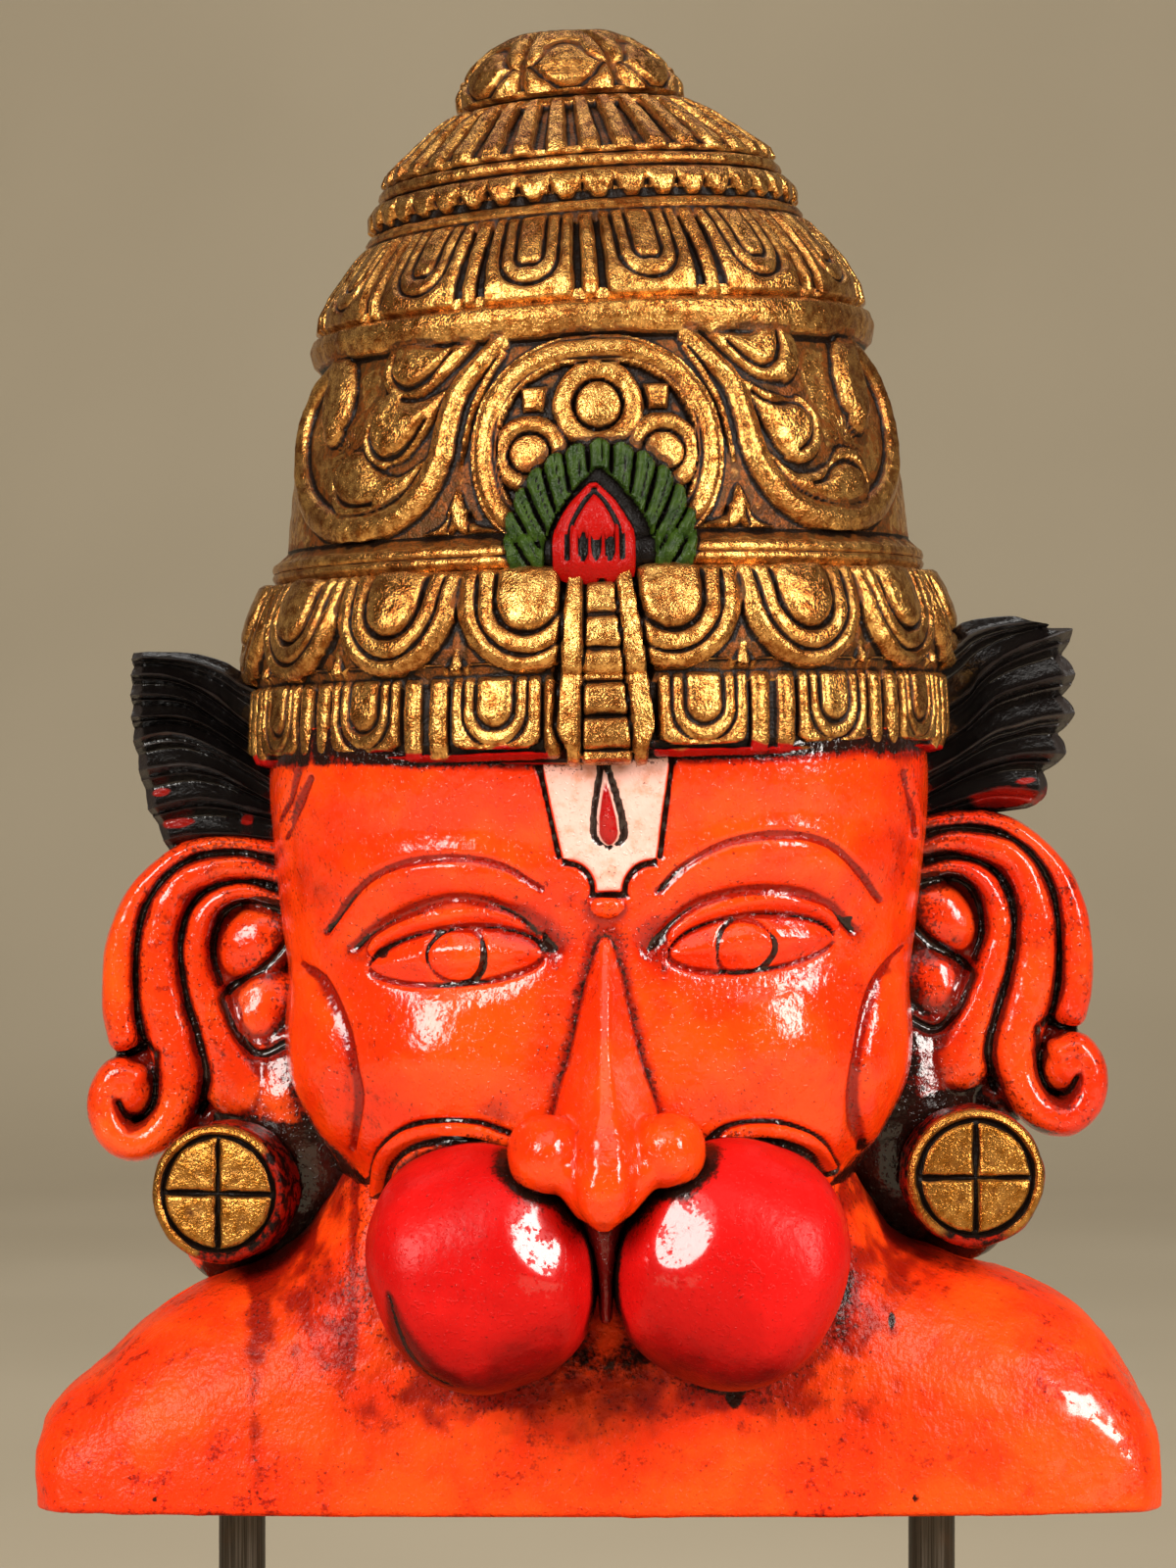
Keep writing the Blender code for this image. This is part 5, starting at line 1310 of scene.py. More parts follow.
# %% Crests of the hair
TUFT_BLADES = {
    -1: [[(66, 171), (76.8, 175), (82, 178.2), (88.7, 180.4), (96.5, 181.2), (101.4, 181)],
         [(68, 162.5), (76, 167), (83.5, 173), (89.8, 176.2), (95, 177.6), (101.6, 177.6)],
         [(70, 158.5), (76, 163.6), (83.5, 168.5), (88.7, 171.9), (93.9, 173.2), (101.6, 173.2)],
         [(70, 156.2), (77, 161.2), (82, 164.6), (86.6, 167.2), (92, 168.6), (101.5, 168.4)],
         [(70, 154), (78.6, 159.2), (87.2, 163.6), (92.4, 165), (96.5, 164.7), (101, 163.2)],
         [(70, 149.5), (77.3, 153.6), (82, 156.3), (86.1, 157.6), (90.8, 158.2), (99.8, 157)],
         [(68, 146.5), (76.2, 148.8), (80.9, 150.1), (86.1, 150.8), (90.8, 150.3), (97.8, 148.4)],
         [(68, 141.6), (77.3, 142.8), (83.5, 143.1), (88.7, 142.8), (94.4, 141.6)]],
    1: [[(66, 176), (77.1, 183.4), (80.9, 186.3), (86.4, 188.2), (91.8, 189.2), (94.6, 189)],
        [(68, 166), (79.3, 173.4), (82.6, 177.5), (86.9, 181), (91.8, 183.6), (100.6, 186.8)],
        [(68, 160), (78.2, 165.5), (84.7, 171.7), (89.1, 174.1), (94.5, 175.7), (101, 177.2)],
        [(68, 154.5), (77.1, 159.5), (85.3, 164.9), (90.2, 166.5), (94.5, 168.1), (100.9, 168.9)],
        [(68, 150), (75.5, 154.3), (81, 157.2), (86.9, 159.4), (91.8, 160.6), (99, 160.6)],
        [(68, 146.5), (76.6, 149.9), (82.6, 151.9), (86.9, 153), (91.8, 153.2), (94.8, 152.4)]],
}
TUFT_TIPS = {-1: 0.3, 1: 2.6}
SMEARS = {
    "tuft_left": [(-95.4, 152.0, 2.4, 1.1), (-76.4, 146.0, 1.8, 1.5), (-91.4, 145.4, 5.0, 1.2)],
    "tuft_right": [(88.0, 150.6, 11.0, 2.9), (93.0, 154.6, 3.0, 0.9)],
}
print("Blades of hair:", [len(blades) for blades in TUFT_BLADES.values()])

# %% [markdown]
# The rows of the sheet run along the blades, and rise and fall from crest to valley. Each tip is
# drawn out a little past its neighbours. Where red paint was smeared over the hair, it is marked.

# %% Tufts of hair


def tuft_rows(side):
    """A fan of hair above one ear, as a sheet with a flat back."""
    blades = [evenly(smooth_path(points, 6), 1.0) for points in TUFT_BLADES[side]]
    places = np.linspace(0.0, 1.0, 100)
    lines = np.array([[np.interp(places * (len(blade) - 1), range(len(blade)), blade[:, k]) for k in range(2)]
                      for blade in blades])
    rows = []
    for crest in np.linspace(-0.4, len(blades) - 0.55, 20 * len(blades)):
        nearest = int(np.clip(round(crest), 0, len(blades) - 1))
        off = 2 * (crest - nearest)
        low = int(np.clip(math.floor(crest), 0, len(blades) - 2))
        line = lines[low] + (lines[low + 1] - lines[low]) * (crest - low)
        heading = line[:, -1] - line[:, -6]
        heading = heading / np.hypot(*heading)
        line = line + heading[:, None] * TUFT_TIPS[side] * (1 - off ** 2) * ramp(0.6, 1.0, places)
        ridge = 1 - (-off) ** 0.6 if off < 0 else 1 - off ** 1.2
        ridge = (3.6 * ridge + 0.6 * groove(off, 0.10) - 0.7 * groove(off - 0.42, 0.09)
                 + 0.5 * groove(off - 0.55, 0.08))
        depth = 8.0 + ridge * ramp(-0.2, 0.3, places) - 2.4 * ramp(0.93, 1.0, places)
        rows.append(np.column_stack([side * line[0], depth, line[1]]))
    front = np.array(rows)
    corners = front[:, [-1, 0], :].copy()
    corners[:, :, 1] = 0.0
    return np.concatenate([front, corners], axis=1)


tufts = [lay_sheet("tuft_left", tuft_rows(-1), sharp=70.0), lay_sheet("tuft_right", tuft_rows(1), sharp=70.0)]
for piece in tufts:
    across, depth, up = to_carver(read_places(piece))
    red = np.full(len(across), -9.0)
    for x, z, wide, tall in SMEARS[piece.name]:
        red = np.maximum(red, 1.0 - np.hypot((across - x) / wide, (up - z - 0.1 * (across - x)) / tall))
    mark(piece, "red_paint", red)
print("tufts:", [len(piece.data.polygons) for piece in tufts], "faces")

# %% [markdown]
# The earrings are thick discs on short stems, with a raised rim and a cross cut into the face. Their
# outline is turned once round, and the cross is pressed in where the face is flat. Each disc is
# turned a little outwards, as the photograph shows one edge wider than the other. A disc is given by
# its place, its turn in degrees, and where round its rim the gold has worn off.

# %% Earrings
EARRINGS = {"earring_left": (-79.6, 66.4, -12.0, -0.6, 0.0), "earring_right": (79.8, 69.8, 4.0, -1.6, 0.6)}
EARRING_RADIUS = 15.0
EARRING_MIDDLE = 20.0


def earring_rows(across, level, turned, worn_side, worn_from):
    """Loops of a disc from its stem to its middle, and where its gilt is."""
    edge = EARRING_RADIUS
    stem = [(edge * 0.75, 2.0), (edge * 0.8, 14.0)]
    side = [(edge - 0.5, 15.4), (edge, 16.6), (edge, 27.2), (edge - 0.5, 28.6)]
    rim = [(edge - 1.6, 29.2), (edge - 3.0, 29.0), (0.25, 29.5)]
    outline = evenly(stem + side + rim, 0.5)
    turn, radius = np.meshgrid(np.linspace(0.0, 2 * math.pi, 160, endpoint=False), outline[:, 0])
    depth = np.broadcast_to(outline[:, 1][:, None], turn.shape)
    face = ramp(27.4, 28.6, depth)
    cross = np.minimum(np.abs(radius * np.cos(turn)) * 0.9, np.abs(radius * np.sin(turn)))
    cut = np.maximum(groove(radius - 12.2, 0.6), groove(cross, 0.6) * ramp(12.1, 11.7, radius))
    cut = cut * face
    depth = depth - 1.4 * cut
    lean = math.radians(turned)
    first = radius * np.cos(turn)
    second = depth - EARRING_MIDDLE
    placed_across = across + first * math.cos(lean) + second * math.sin(lean)
    placed_depth = EARRING_MIDDLE + second * math.cos(lean) - first * math.sin(lean)
    rows = np.stack([placed_across, placed_depth, level + radius * np.sin(turn)], axis=2)
    worn = ramp(worn_from, worn_from + 0.5, np.cos(turn - worn_side)) * ramp(12.2, 12.8, radius)
    return rows, {"ink": cut, "gilt": face * ramp(15.2, 14.6, radius) * (1 - worn)}


earrings = [lay_sheet(name, *earring_rows(*place)) for name, place in EARRINGS.items()]
print("earrings:", [len(piece.data.polygons) for piece in earrings], "faces")

# %% [markdown]
# A carved surface is never quite true. The Displace modifier with a soft cloud texture lifts and
# sinks each piece by a fraction of a millimetre, as knife and sandpaper leave it. The flat back
# stays flat. It is set in by a hair's breadth more for each piece, because two faces in one plane
# would flicker, and it is marked, since no paint was put on it.

# %% Hand of the carver
CARVED = [crown_rim, crown_drum, crown_top, head, nose, lip, chest, *balls, *ears, *tufts, *earrings]
UNEVEN = {"crown_rim": (0.6, 5.0), "crown_drum": (0.6, 5.0), "crown_top": (0.6, 5.0), "chest": (1.4, 11.0),
          "head": (0.55, 13.0), "nose": (0.4, 7.0), "lip": (0.3, 5.0), "ball_left": (0.6, 14.0),
          "ball_right": (0.6, 15.0), "ear_left": (0.5, 6.0), "ear_right": (0.5, 7.0), "tuft_left": (0.4, 5.0),
          "tuft_right": (0.4, 5.0), "earring_left": (0.9, 7.0), "earring_right": (0.9, 8.0)}
BACK_STAGGER = 0.05


def make_uneven(piece, amount, size, set_in):
    """Lift and sink a piece's skin by up to half of amount, in lumps of about size; set its back in."""
    before = read_places(piece)
    clouds = bpy.data.textures.new("carving_" + piece.name, "CLOUDS")
    clouds.noise_scale = size * MM
    clouds.noise_depth = 2
    add_modifier(piece, "DISPLACE", texture=clouds, texture_coords="LOCAL", strength=amount * MM,
                 mid_level=0.5)
    after = read_places(piece)
    _, depth, up = to_carver(before)
    back = depth < 0.4
    fixed = back | (up < 0.05)
    after[fixed] = before[fixed]
    after[back, 1] -= set_in * MM
    mark(piece, "bare_back", back)
    write_places(piece, after)


for turn, piece in enumerate(CARVED):
    make_uneven(piece, *UNEVEN[piece.name], BACK_STAGGER * turn)
print("Made uneven:", len(CARVED), "pieces")

# %% [markdown]
# Old paint tells the shape: dark glaze is brushed on and wiped off, so it stays in grooves. Two measurements
# are stored on every point for that. One is how far it lies below its smoothed neighbourhood, at a fine and
# at a broad scale. The other is how near the next piece is, which darkens the paint where two forms meet:
# partly glaze, and partly painted shade.

# %% Grooves and meetings
WIPED = {"nose": 0.3, "ball_left": 0.5, "ball_right": 0.5}
# Reach in millimetres and strength of the darkening near other pieces: glaze and painted shade.
CONTACT_GLAZE_AND_SHADE = {"chest": (7.0, 2.4), "ball_left": (5.0, 6.5), "ball_right": (5.0, 6.5), "head": (2.6, 3.4),
          "ear_left": (7.0, 3.4), "ear_right": (9.0, 4.2)}
GROOVE_ROUNDS, HOLLOW_ROUNDS = 6, 60


def below_neighbours(piece, rounds):
    """How many millimetres each point lies below the skin, after its neighbours are averaged."""
    points, directions = read_places(piece), read_directions(piece)
    count = len(points)
    edges = np.empty(len(piece.data.edges) * 2, dtype=np.int64)
    piece.data.edges.foreach_get("vertices", edges)
    first, second = edges.reshape(-1, 2).T
    degree = np.bincount(first, minlength=count) + np.bincount(second, minlength=count)
    smooth = points.copy()
    for _ in range(rounds):
        total = np.stack([np.bincount(first, smooth[second, k], count)
                          + np.bincount(second, smooth[first, k], count) for k in range(3)], axis=1)
        smooth = 0.4 * smooth + 0.6 * total / degree[:, None]
    return ((smooth - points) * directions).sum(axis=1) / MM


def nearness(piece, others, within):
    """How near the other pieces are: 0 at a distance of within millimetres, and within on contact."""
    points = read_places(piece)
    near = np.zeros(len(points))
    for low, high, tree in others:
        close = np.where(np.all((points > low - within * MM) & (points < high + within * MM), axis=1))[0]
        for index in close:
            found = tree.find_nearest(points[index], within * MM)
            if found[0] is not None:
                near[index] = max(near[index], within - found[3] / MM)
    return near


graph = bpy.context.evaluated_depsgraph_get()
solids = {}
for piece in CARVED:
    places = read_places(piece)
    solids[piece.name] = (places.min(axis=0), places.max(axis=0), BVHTree.FromObject(piece, graph))
for piece in CARVED:
    # How far each point faces down, for painted shade on undersides.
    mark(piece, "underside", np.clip(-read_directions(piece)[:, 2], 0.0, 1.0))
    wiped = WIPED.get(piece.name, 1.0)
    mark(piece, "groove", wiped * below_neighbours(piece, GROOVE_ROUNDS))
    mark(piece, "hollow", wiped * below_neighbours(piece, HOLLOW_ROUNDS))
    # Darkening near other pieces, partly glaze and partly painted shade.
    reach, strength = CONTACT_GLAZE_AND_SHADE.get(piece.name, (3.0, 3.0))
    others = [solid for name, solid in solids.items() if name != piece.name]
    mark(piece, "touch", nearness(piece, others, reach) * strength / reach)
print("Stored groove, hollow and touch on", len(CARVED), "pieces")

# %% [markdown]
# The paint is written as sums. A small class wraps a socket, so that adding or multiplying two of
# them adds the node that does it.

# %% Wires


class Wire:
    """A socket that takes part in sums, each of which adds its Math node."""

    def __init__(self, paint, socket):
        self.paint = paint
        self.socket = socket

    def sum(self, operation, first, second):
        """The wire that comes out of one Math node."""
        return self.paint.add("Math", {"operation": operation}, {0: first, 1: second})

    def __add__(self, other):
        return self.sum("ADD", self, other)

    def __radd__(self, other):
        return self.sum("ADD", other, self)

    def __sub__(self, other):
        return self.sum("SUBTRACT", self, other)

    def __rsub__(self, other):
        return self.sum("SUBTRACT", other, self)

    def __mul__(self, other):
        return self.sum("MULTIPLY", self, other)

    def __rmul__(self, other):
        return self.sum("MULTIPLY", other, self)


print("Sums of a wire:", [name for name in vars(Wire) if name.endswith(("add__", "sub__", "mul__"))])

# %% [markdown]
# One method adds any other kind of node: its settings first, such as a Math node's operation, and
# then the values or wires of its sockets. Patterns are read from Object coordinates, which are
# metres here, so a noise can be given its real size in millimetres.

# %% Paint shop


def srgb(red, green, blue):
    """A colour as painters' charts give it, 0 to 255, turned into light."""
    shares = np.array([red, green, blue]) / 255.0
    light = np.where(shares <= 0.04045, shares / 12.92, ((shares + 0.055) / 1.055) ** 2.4)
    return tuple(float(share) for share in light)


class Paint:
    """A material whose nodes are added by writing them."""

    def __init__(self, name, **constants):
        self.material = bpy.data.materials.new(name)
        self.material.use_nodes = True
        self.tree = self.material.node_tree
        self.shader = self.tree.nodes["Principled BSDF"]
        self.place = self.add("TexCoord", {}, {}, "Object")
        for socket, value in constants.items():
            self.feed(self.shader.inputs[socket.replace("_", " ")], value)

    def feed(self, socket, value):
        """Link a wire to a socket, or set the socket's value."""
        if isinstance(value, Wire):
            self.tree.links.new(value.socket, socket)
        elif socket.type == "RGBA":
            socket.default_value = (*value, 1.0)
        else:
            socket.default_value = value

    def add(self, kind, settings, values, output=0):
        """Add one node, with its settings before its sockets."""
        node = self.tree.nodes.new("ShaderNode" + kind)
        for name, setting in settings.items():
            setattr(node, name, setting)
        for name, value in values.items():
            self.feed(node.inputs[name], value)
        return Wire(self, node.outputs[output])

    def mark(self, name):
        """A number that was stored on the points."""
        return self.add("Attribute", {"attribute_type": "GEOMETRY", "attribute_name": name}, {}, "Fac")

    def noise(self, size, detail=3.0, roughness=0.55, stretch=(1.0, 1.0, 1.0)):
        """Soft noise with lumps of about size millimetres, from 0 to 1."""
        place = self.add("Mapping", {}, {"Vector": self.place, "Scale": stretch})
        values = {"Vector": place, "Scale": 1.0 / (size * MM), "Detail": detail, "Roughness": roughness}
        return self.add("TexNoise", {"noise_dimensions": "3D"}, values)

    def step(self, value, low, high):
        """Rise smoothly from 0 at low to 1 at high."""
        values = {"Value": value, "From Min": low, "From Max": high}
        return self.add("MapRange", {"interpolation_type": "SMOOTHSTEP", "clamp": True}, values)

    def mix(self, share, first, second):
        """The first colour, with the second laid over it by share."""
        return self.add("Mix", {"data_type": "RGBA"}, {0: share, 6: first, 7: second}, 2)

    def bare_wood(self, colour):
        """Bare wood on the flat back and the colour elsewhere, and where the bare wood is."""
        bare = self.step(self.mark("bare_back"), 0.5, 0.9)
        grain = self.step(self.noise(3.0, 4.0, 0.6, (1.0, 1.0, 0.06)), 0.35, 0.7)
        return self.mix(bare, colour, self.mix(grain, srgb(164, 122, 80), srgb(118, 80, 48))), bare

    def finish(self, relief, **wires):
        """Link what varies to the shader, with any relief in millimetres behind its bump."""
        for socket, value in wires.items():
            self.feed(self.shader.inputs[socket.replace("_", " ")], value)
        if relief is not None:
            bump = self.add("Bump", {}, {"Height": relief, "Distance": MM, "Strength": 1.0})
            self.feed(self.shader.inputs["Normal"], bump)
        return self.material


def wear(piece, material):
    """Give a piece its one finish."""
    piece.data.materials.clear()
    piece.data.materials.append(material)


# The colour of the dark glaze, which also paints shade and shadow.
GLAZE_AND_SHADOW = srgb(24, 13, 9)
print("Dark glaze:", [round(share, 4) for share in GLAZE_AND_SHADOW])

# %% [markdown]
# The skin is orange lacquer over carved wood. It is brightest where light paint was rubbed thin, and deep red
# where it pooled in hollows. Dark glaze was then brushed into the lines and wiped off the rest. The deep red
# and the dark glaze are also used as painted shade, where one piece meets another and under parts that face
# down. One recipe makes all the lacquers. Where a piece is varnished, the varnish is a coat that has worn
# through in spots, so that its bright patches have torn edges.

# %% Lacquer recipe


def lacquer(name, thin, body, pooled, blotches=0.3, lumps=0.12, pimples=0.16, size=2.0, dull=0.08, crisp=0.3,
            depth=0.0, soak=0.0, shine=0.5, varnished=False, painted=False):
    """Glossy paint in three colours, with pooled colour in its hollows and dark glaze in its lines.

    The skin has blotches, lumps and pimples of the given size, and is dull or has shine; crisp is how well
    the cut lines hold the glaze, depth how much painted shade darkens the parts that face down, and soak how
    far the pooled colour spreads.
    """
    paint = Paint(name, Specular_IOR_Level=shine, Coat_Roughness=0.12)
    # below is how far a point faces down, and it paints shade under parts.
    line, hollow, touch, below = [paint.mark(word) for word in ("groove", "hollow", "touch", "underside")]
    ink, rouge = paint.mark("ink"), paint.mark("rouge")
    cloud, patch = paint.noise(22.0, 3.0), paint.noise(4.0, 5.0, 0.65)
    fleck, pimple = paint.noise(0.8, 2.0), paint.noise(size, 2.0, 0.5, (1.0, 1.0, 0.8))
    colour = paint.mix(paint.step(cloud + 0.3 * (patch - 0.5), 0.38, 0.66), body, thin)
    blotch = paint.step(patch + 0.5 * (fleck - 0.5), 0.50, 0.72) * blotches
    blotch = blotch * paint.step(cloud, 0.62, 0.40)
    colour = paint.mix(blotch, colour, pooled)
    # Deeper red pooled in lines and hollows, with painted shade near other pieces and on parts that face
    # down.
    pooled_red_and_shade = paint.step(line * 1.2 + 0.5 * hollow + 0.5 * rouge + 0.16 * touch + 0.3 * (patch - 0.5)
                      + depth * below + soak * (1.0 + 3.0 * hollow), 0.04, 0.46)
    colour = paint.mix(pooled_red_and_shade * 0.9, colour, pooled)
    specks = paint.step(fleck + 0.25 * patch + 0.12 * rouge + 0.06 * touch, 0.82, 0.88) * 0.7
    # Dark glaze in the lines, with painted shade near other pieces and a painted shadow on undersides beside
    # them.
    dark = line * crisp + 0.2 * hollow + 0.18 * touch + ink + 0.5 * (patch - 0.5) + 0.35 * (fleck - 0.5)
    dark = paint.step(dark + 0.5 * paint.step(below, 0.55, 0.9) * paint.step(touch, 0.0, 1.0), 0.42, 0.70)
    if painted:
        cream = paint.step(paint.mark("cream_paint"), 0.15, 0.55)
        drop = paint.step(paint.mark("red_paint"), 0.1, 0.5)
        cloth = paint.mix(paint.step(patch, 0.45, 0.75), srgb(243, 188, 176), srgb(222, 150, 124))
        colour = paint.mix(cream, colour, cloth)
        colour = paint.mix(drop, colour, srgb(168, 10, 12))
    colour = paint.mix(specks, colour, srgb(70, 14, 8))
    # The glaze colour over the lines and over the painted shade and shadow.
    colour = paint.mix(dark * 0.97, colour, GLAZE_AND_SHADOW)
    colour, bare = paint.bare_wood(colour)
    dust = paint.step(paint.noise(0.9, 1.0), 0.60, 0.70)
    relief = lumps * patch + pimples * pimple + 0.03 * fleck + 0.08 * dust
    roughness = dull - 0.5 * dull * dark + 0.06 * patch + 0.5 * bare
    if not varnished:
        return paint.finish(relief, Base_Color=colour, Roughness=roughness)
    worn = paint.step(patch + 0.5 * pimple + 0.4 * (fleck - 0.5), 0.80, 0.86)
    polish = paint.mark("polish") + 0.8 * (patch - 0.5) + 0.4 * (fleck - 0.5)
    varnish = (1.0 - worn) * paint.step(polish, 0.38, 0.5)
    return paint.finish(relief, Base_Color=colour, Roughness=roughness, Coat_Weight=varnish)


print("The recipe mixes thin, body and pooled colours with glaze of", [round(255 * share) for share in GLAZE_AND_SHADOW])

# %% [markdown]
# The ears were glazed more than the face, the right one most. The shoulders have more blotches and a
# rougher skin, and the balls are a deep red that is dull except where the varnish is left.

# %% Lacquered pieces
# The balls' coat; its depth paints shade on their lower parts that face down.
BALL_COAT = {"blotches": 0.15, "lumps": 0.14, "pimples": 0.18, "dull": 0.30, "depth": 0.6, "shine": 0.14,
             "varnished": True}
orange_skin = lacquer("orange_lacquer", srgb(250, 70, 9), srgb(236, 49, 6), srgb(132, 11, 4), blotches=0.45,
                      lumps=0.16, pimples=0.22, painted=True)
ear_skins = [lacquer("ear_lacquer_left", srgb(250, 82, 18), srgb(232, 56, 11), srgb(122, 14, 6), blotches=0.7,
                     crisp=1.2, soak=0.06),
             lacquer("ear_lacquer_right", srgb(240, 70, 16), srgb(216, 44, 10), srgb(98, 11, 6), blotches=0.9,
                     crisp=1.2, soak=0.12)]
chest_skin = lacquer("chest_lacquer", srgb(252, 74, 14), srgb(240, 52, 9), srgb(138, 14, 5), blotches=0.9,
                     lumps=0.30, pimples=0.40, size=1.3, dull=0.30, shine=0.16, varnished=True)
ball_skins = [lacquer("red_lacquer_left", srgb(202, 17, 15), srgb(182, 10, 9), srgb(92, 4, 3), **BALL_COAT),
              lacquer("red_lacquer_right", srgb(206, 18, 16), srgb(186, 12, 11), srgb(98, 5, 4), **BALL_COAT)]
dark_lip = lacquer("lip_lacquer", srgb(120, 14, 10), srgb(90, 10, 7), srgb(30, 6, 5))
lacquered = [head, nose, chest, lip, *ears, *balls]
for piece, skin in zip(lacquered, [orange_skin, orange_skin, chest_skin, dark_lip, *ear_skins, *ball_skins]):
    wear(piece, skin)
print("Lacquered:", [piece.name for piece in lacquered])

# %% [markdown]
# The crown is gold paint over a dark ground. The metal is grainy, brown wash lies in all its
# recesses, and the deepest lines are black. The lotus is painted over the gold in green, red and
# black, by the marks that its drawing left on the drum. The earrings are flatter gold, and their
# sides are dark with smears of red.

# %% Gilding


def gilding(name, rim=False):
    """Antiqued gold paint, with the lotus colours or the earring's dark side where they are marked."""
    paint = Paint(name, Specular_IOR_Level=0.14)
    line, hollow, touch, ink = [paint.mark(word) for word in ("groove", "hollow", "touch", "ink")]
    cloud, patch, grain = paint.noise(16.0, 3.0), paint.noise(2.2, 4.0, 0.6), paint.noise(0.5, 2.0)
    gold = paint.mix(paint.step(patch + 0.5 * (grain - 0.5), 0.3, 0.7), srgb(238, 178, 98), srgb(140, 80, 30))
    gold = paint.mix(paint.step(cloud, 0.40, 0.66) * 0.55, gold, srgb(120, 60, 22))
    # Brown wash in lines and hollows; near other pieces it is also painted shade.
    wash = paint.step(line * 2.8 + 2.2 * hollow + 0.2 * touch + 0.6 * (patch - 0.5), -0.10, 0.34)
    black = paint.step(line * 2.2 + 0.35 * hollow + ink * 0.9 + 0.5 * (patch - 0.5), 0.30, 0.58)
    browned = paint.step(patch + 0.6 * (grain - 0.5), 0.42, 0.62)
    ground = paint.mix(browned, srgb(46, 17, 6), srgb(118, 62, 22))
    colour = paint.mix(wash * 0.92, gold, ground)
    metal = 0.85 - 0.5 * wash
    if rim:
        side = 1.0 - paint.step(paint.mark("gilt"), 0.3, 0.7)
        gold = paint.mix(0.55, gold, srgb(150, 96, 24))
        colour = paint.mix(wash * 0.92, gold, srgb(60, 26, 10))
        bare = paint.mix(paint.step(patch, 0.42, 0.6), srgb(24, 12, 10), srgb(150, 26, 10))
        colour = paint.mix(side, colour, bare)
        metal = metal * (1.0 - side)
    else:
        green = paint.step(paint.mark("green_paint"), 0.02, 0.3)
        red = paint.step(paint.mark("red_paint"), 0.1, 0.4)
        surround = paint.step(paint.mark("black_paint"), 0.1, 0.5)
        leaf = paint.mix(paint.step(patch, 0.3, 0.7), srgb(26, 44, 9), srgb(50, 70, 18))
        leaf = paint.mix(wash, leaf, srgb(10, 13, 7))
        colour = paint.mix(green, colour, leaf)
        colour = paint.mix(surround, colour, srgb(14, 10, 9))
        colour = paint.mix(red, colour, paint.mix(wash, srgb(158, 11, 7), srgb(36, 3, 3)))
        metal = metal * (1.0 - green) * (1.0 - red) * (1.0 - surround)
    colour = paint.mix(black * 0.96, colour, srgb(13, 8, 6))
    metal = metal * (1.0 - black)
    colour, bare = paint.bare_wood(colour)
    metal = metal * (1.0 - bare)
    relief = 0.26 * patch + 0.22 * grain
    roughness = 0.13 + 0.14 * grain + 0.16 * wash + 0.5 * bare
    return paint.finish(relief, Base_Color=colour, Roughness=roughness, Metallic=metal)


gilt_crown = gilding("gilt_crown")
gilt_earring = gilding("gilt_earring", rim=True)
for piece in (crown_rim, crown_drum, crown_top):
    wear(piece, gilt_crown)
for piece in earrings:
    wear(piece, gilt_earring)
print("Gilded:", [piece.name for piece in (crown_rim, crown_drum, crown_top, *earrings)])

# %% [markdown]
# The hair is black gloss paint. Its crests are lighter and rougher, partly rubbed paint and partly a painted
# sheen, and some of the skin's red was smeared over it by the same brush.

# %% Hair


def hair_paint():
    """Black gloss with lighter crests, partly painted sheen, and red smears."""
    paint = Paint("black_hair", Specular_IOR_Level=0.6)
    line, hollow, red = [paint.mark(word) for word in ("groove", "hollow", "red_paint")]
    patch, streak = paint.noise(6.0, 4.0), paint.noise(1.1, 3.0)
    # Lighter crests: partly rubbed paint and partly a painted sheen along them.
    crest = paint.step(0.0 - line - 0.3 * hollow + 0.2 * (streak - 0.5), 0.10, 0.50)
    colour = paint.mix(crest * 0.8, srgb(15, 11, 10), srgb(44, 37, 34))
    smear = paint.step(red + 1.2 * (patch - 0.5), 0.05, 0.35) * 0.85
    colour = paint.mix(smear, colour, srgb(150, 20, 10))
    colour, bare = paint.bare_wood(colour)
    relief = 0.22 * streak + 0.10 * patch
    roughness = 0.14 + 0.14 * streak + 0.15 * crest + 0.5 * bare
    return paint.finish(relief, Base_Color=colour, Roughness=roughness)


hair = hair_paint()
for piece in tufts:
    wear(piece, hair)
print("Hair:", [piece.name for piece in tufts])

# %% [markdown]
# The rods are bare drawn bar, with fine lines along their length and a faint brown bloom. The foot is
# a dark stained board. Both are CAD pieces, so only the material in their slots is changed.

# %% Rods and foot


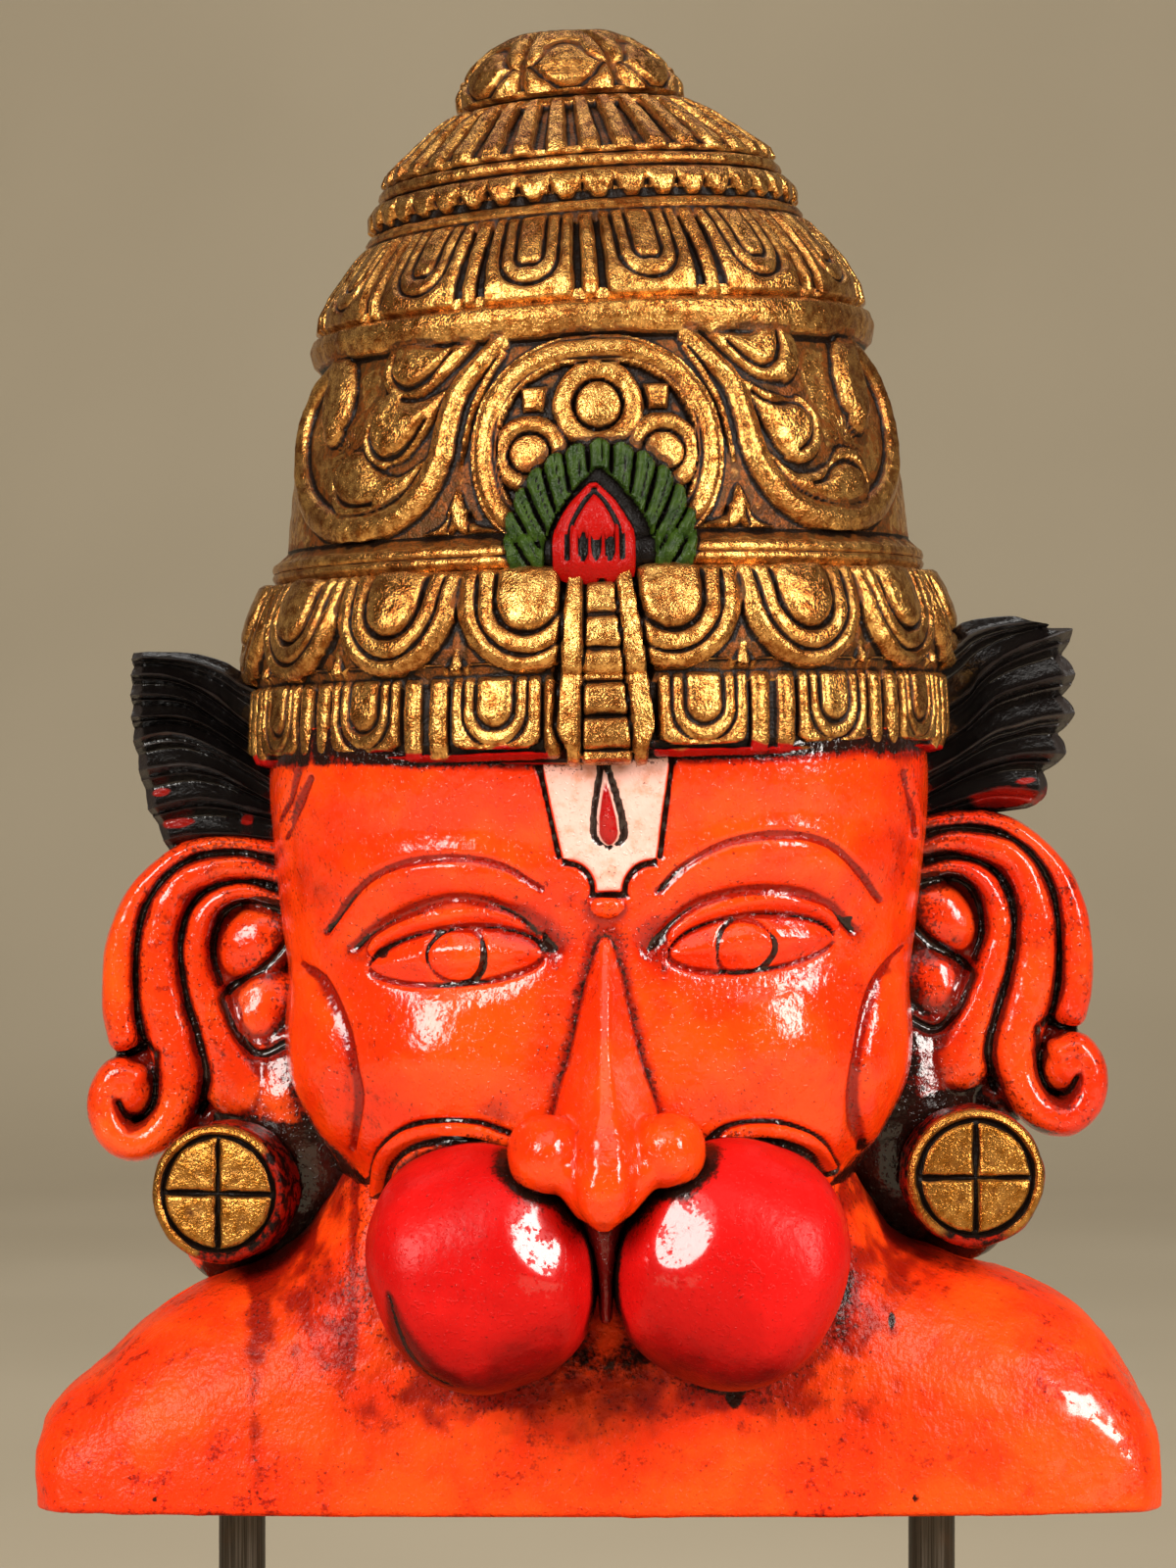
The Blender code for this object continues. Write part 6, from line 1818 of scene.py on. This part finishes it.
def drawn_steel():
    """Bare drawn bar: fine lines along its length and a faint brown bloom."""
    paint = Paint("drawn_steel", Metallic=1.0)
    lines, bloom = paint.noise(0.35, 3.0, 0.6, (1.0, 1.0, 0.012)), paint.noise(9.0, 4.0)
    colour = paint.mix(paint.step(lines, 0.3, 0.7), srgb(58, 52, 46), srgb(98, 90, 82))
    colour = paint.mix(paint.step(bloom, 0.55, 0.8) * 0.5, colour, srgb(96, 74, 58))
    return paint.finish(0.02 * lines, Base_Color=colour, Roughness=0.26 + 0.2 * lines)


def stained_wood():
    """Dark stained board with grain along its length."""
    paint = Paint("stained_foot", Coat_Weight=0.25, Coat_Roughness=0.25)
    warp = paint.noise(60.0, 2.0, 0.5, (0.15, 1.0, 1.0))
    grain, pore = paint.noise(7.0, 5.0, 0.6, (0.05, 1.0, 1.0)), paint.noise(0.7, 2.0, 0.5, (0.03, 1.0, 1.0))
    tone = paint.step(grain + 0.6 * (warp - 0.5), 0.35, 0.7)
    colour = paint.mix(tone, srgb(54, 30, 18), srgb(98, 60, 36))
    colour = paint.mix(paint.step(pore, 0.58, 0.72) * 0.7, colour, srgb(26, 14, 9))
    return paint.finish(0.05 * grain + 0.06 * pore, Base_Color=colour, Roughness=0.38 + 0.2 * pore)


steel, board = drawn_steel(), stained_wood()
for node, material in (("rod_left", steel), ("rod_right", steel), ("base", board)):
    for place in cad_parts[node].material_slots:
        place.material = material
print("The rods wear", steel.name, "and the foot", board.name)

# %% [markdown]
# The floor is pale paper: nearly even, with the faintest cloud, so that the eye stays on the bust.

# %% Floor finish
paper = Paint("pale_paper")
tone = paper.step(paper.noise(400.0, 2.0), 0.3, 0.7)
colour = paper.mix(tone, srgb(186, 172, 146), srgb(192, 178, 152))
wear(backdrop, paper.finish(None, Base_Color=colour, Roughness=0.8 + 0.1 * tone))
print("The backdrop is", backdrop.material_slots[0].name)

# All of them ride on the root, since nothing on the bust moves, and all of them replace the one
# CAD bust.

# %% Hand over
for piece in CARVED:
    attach(piece, "root")
    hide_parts("bust")
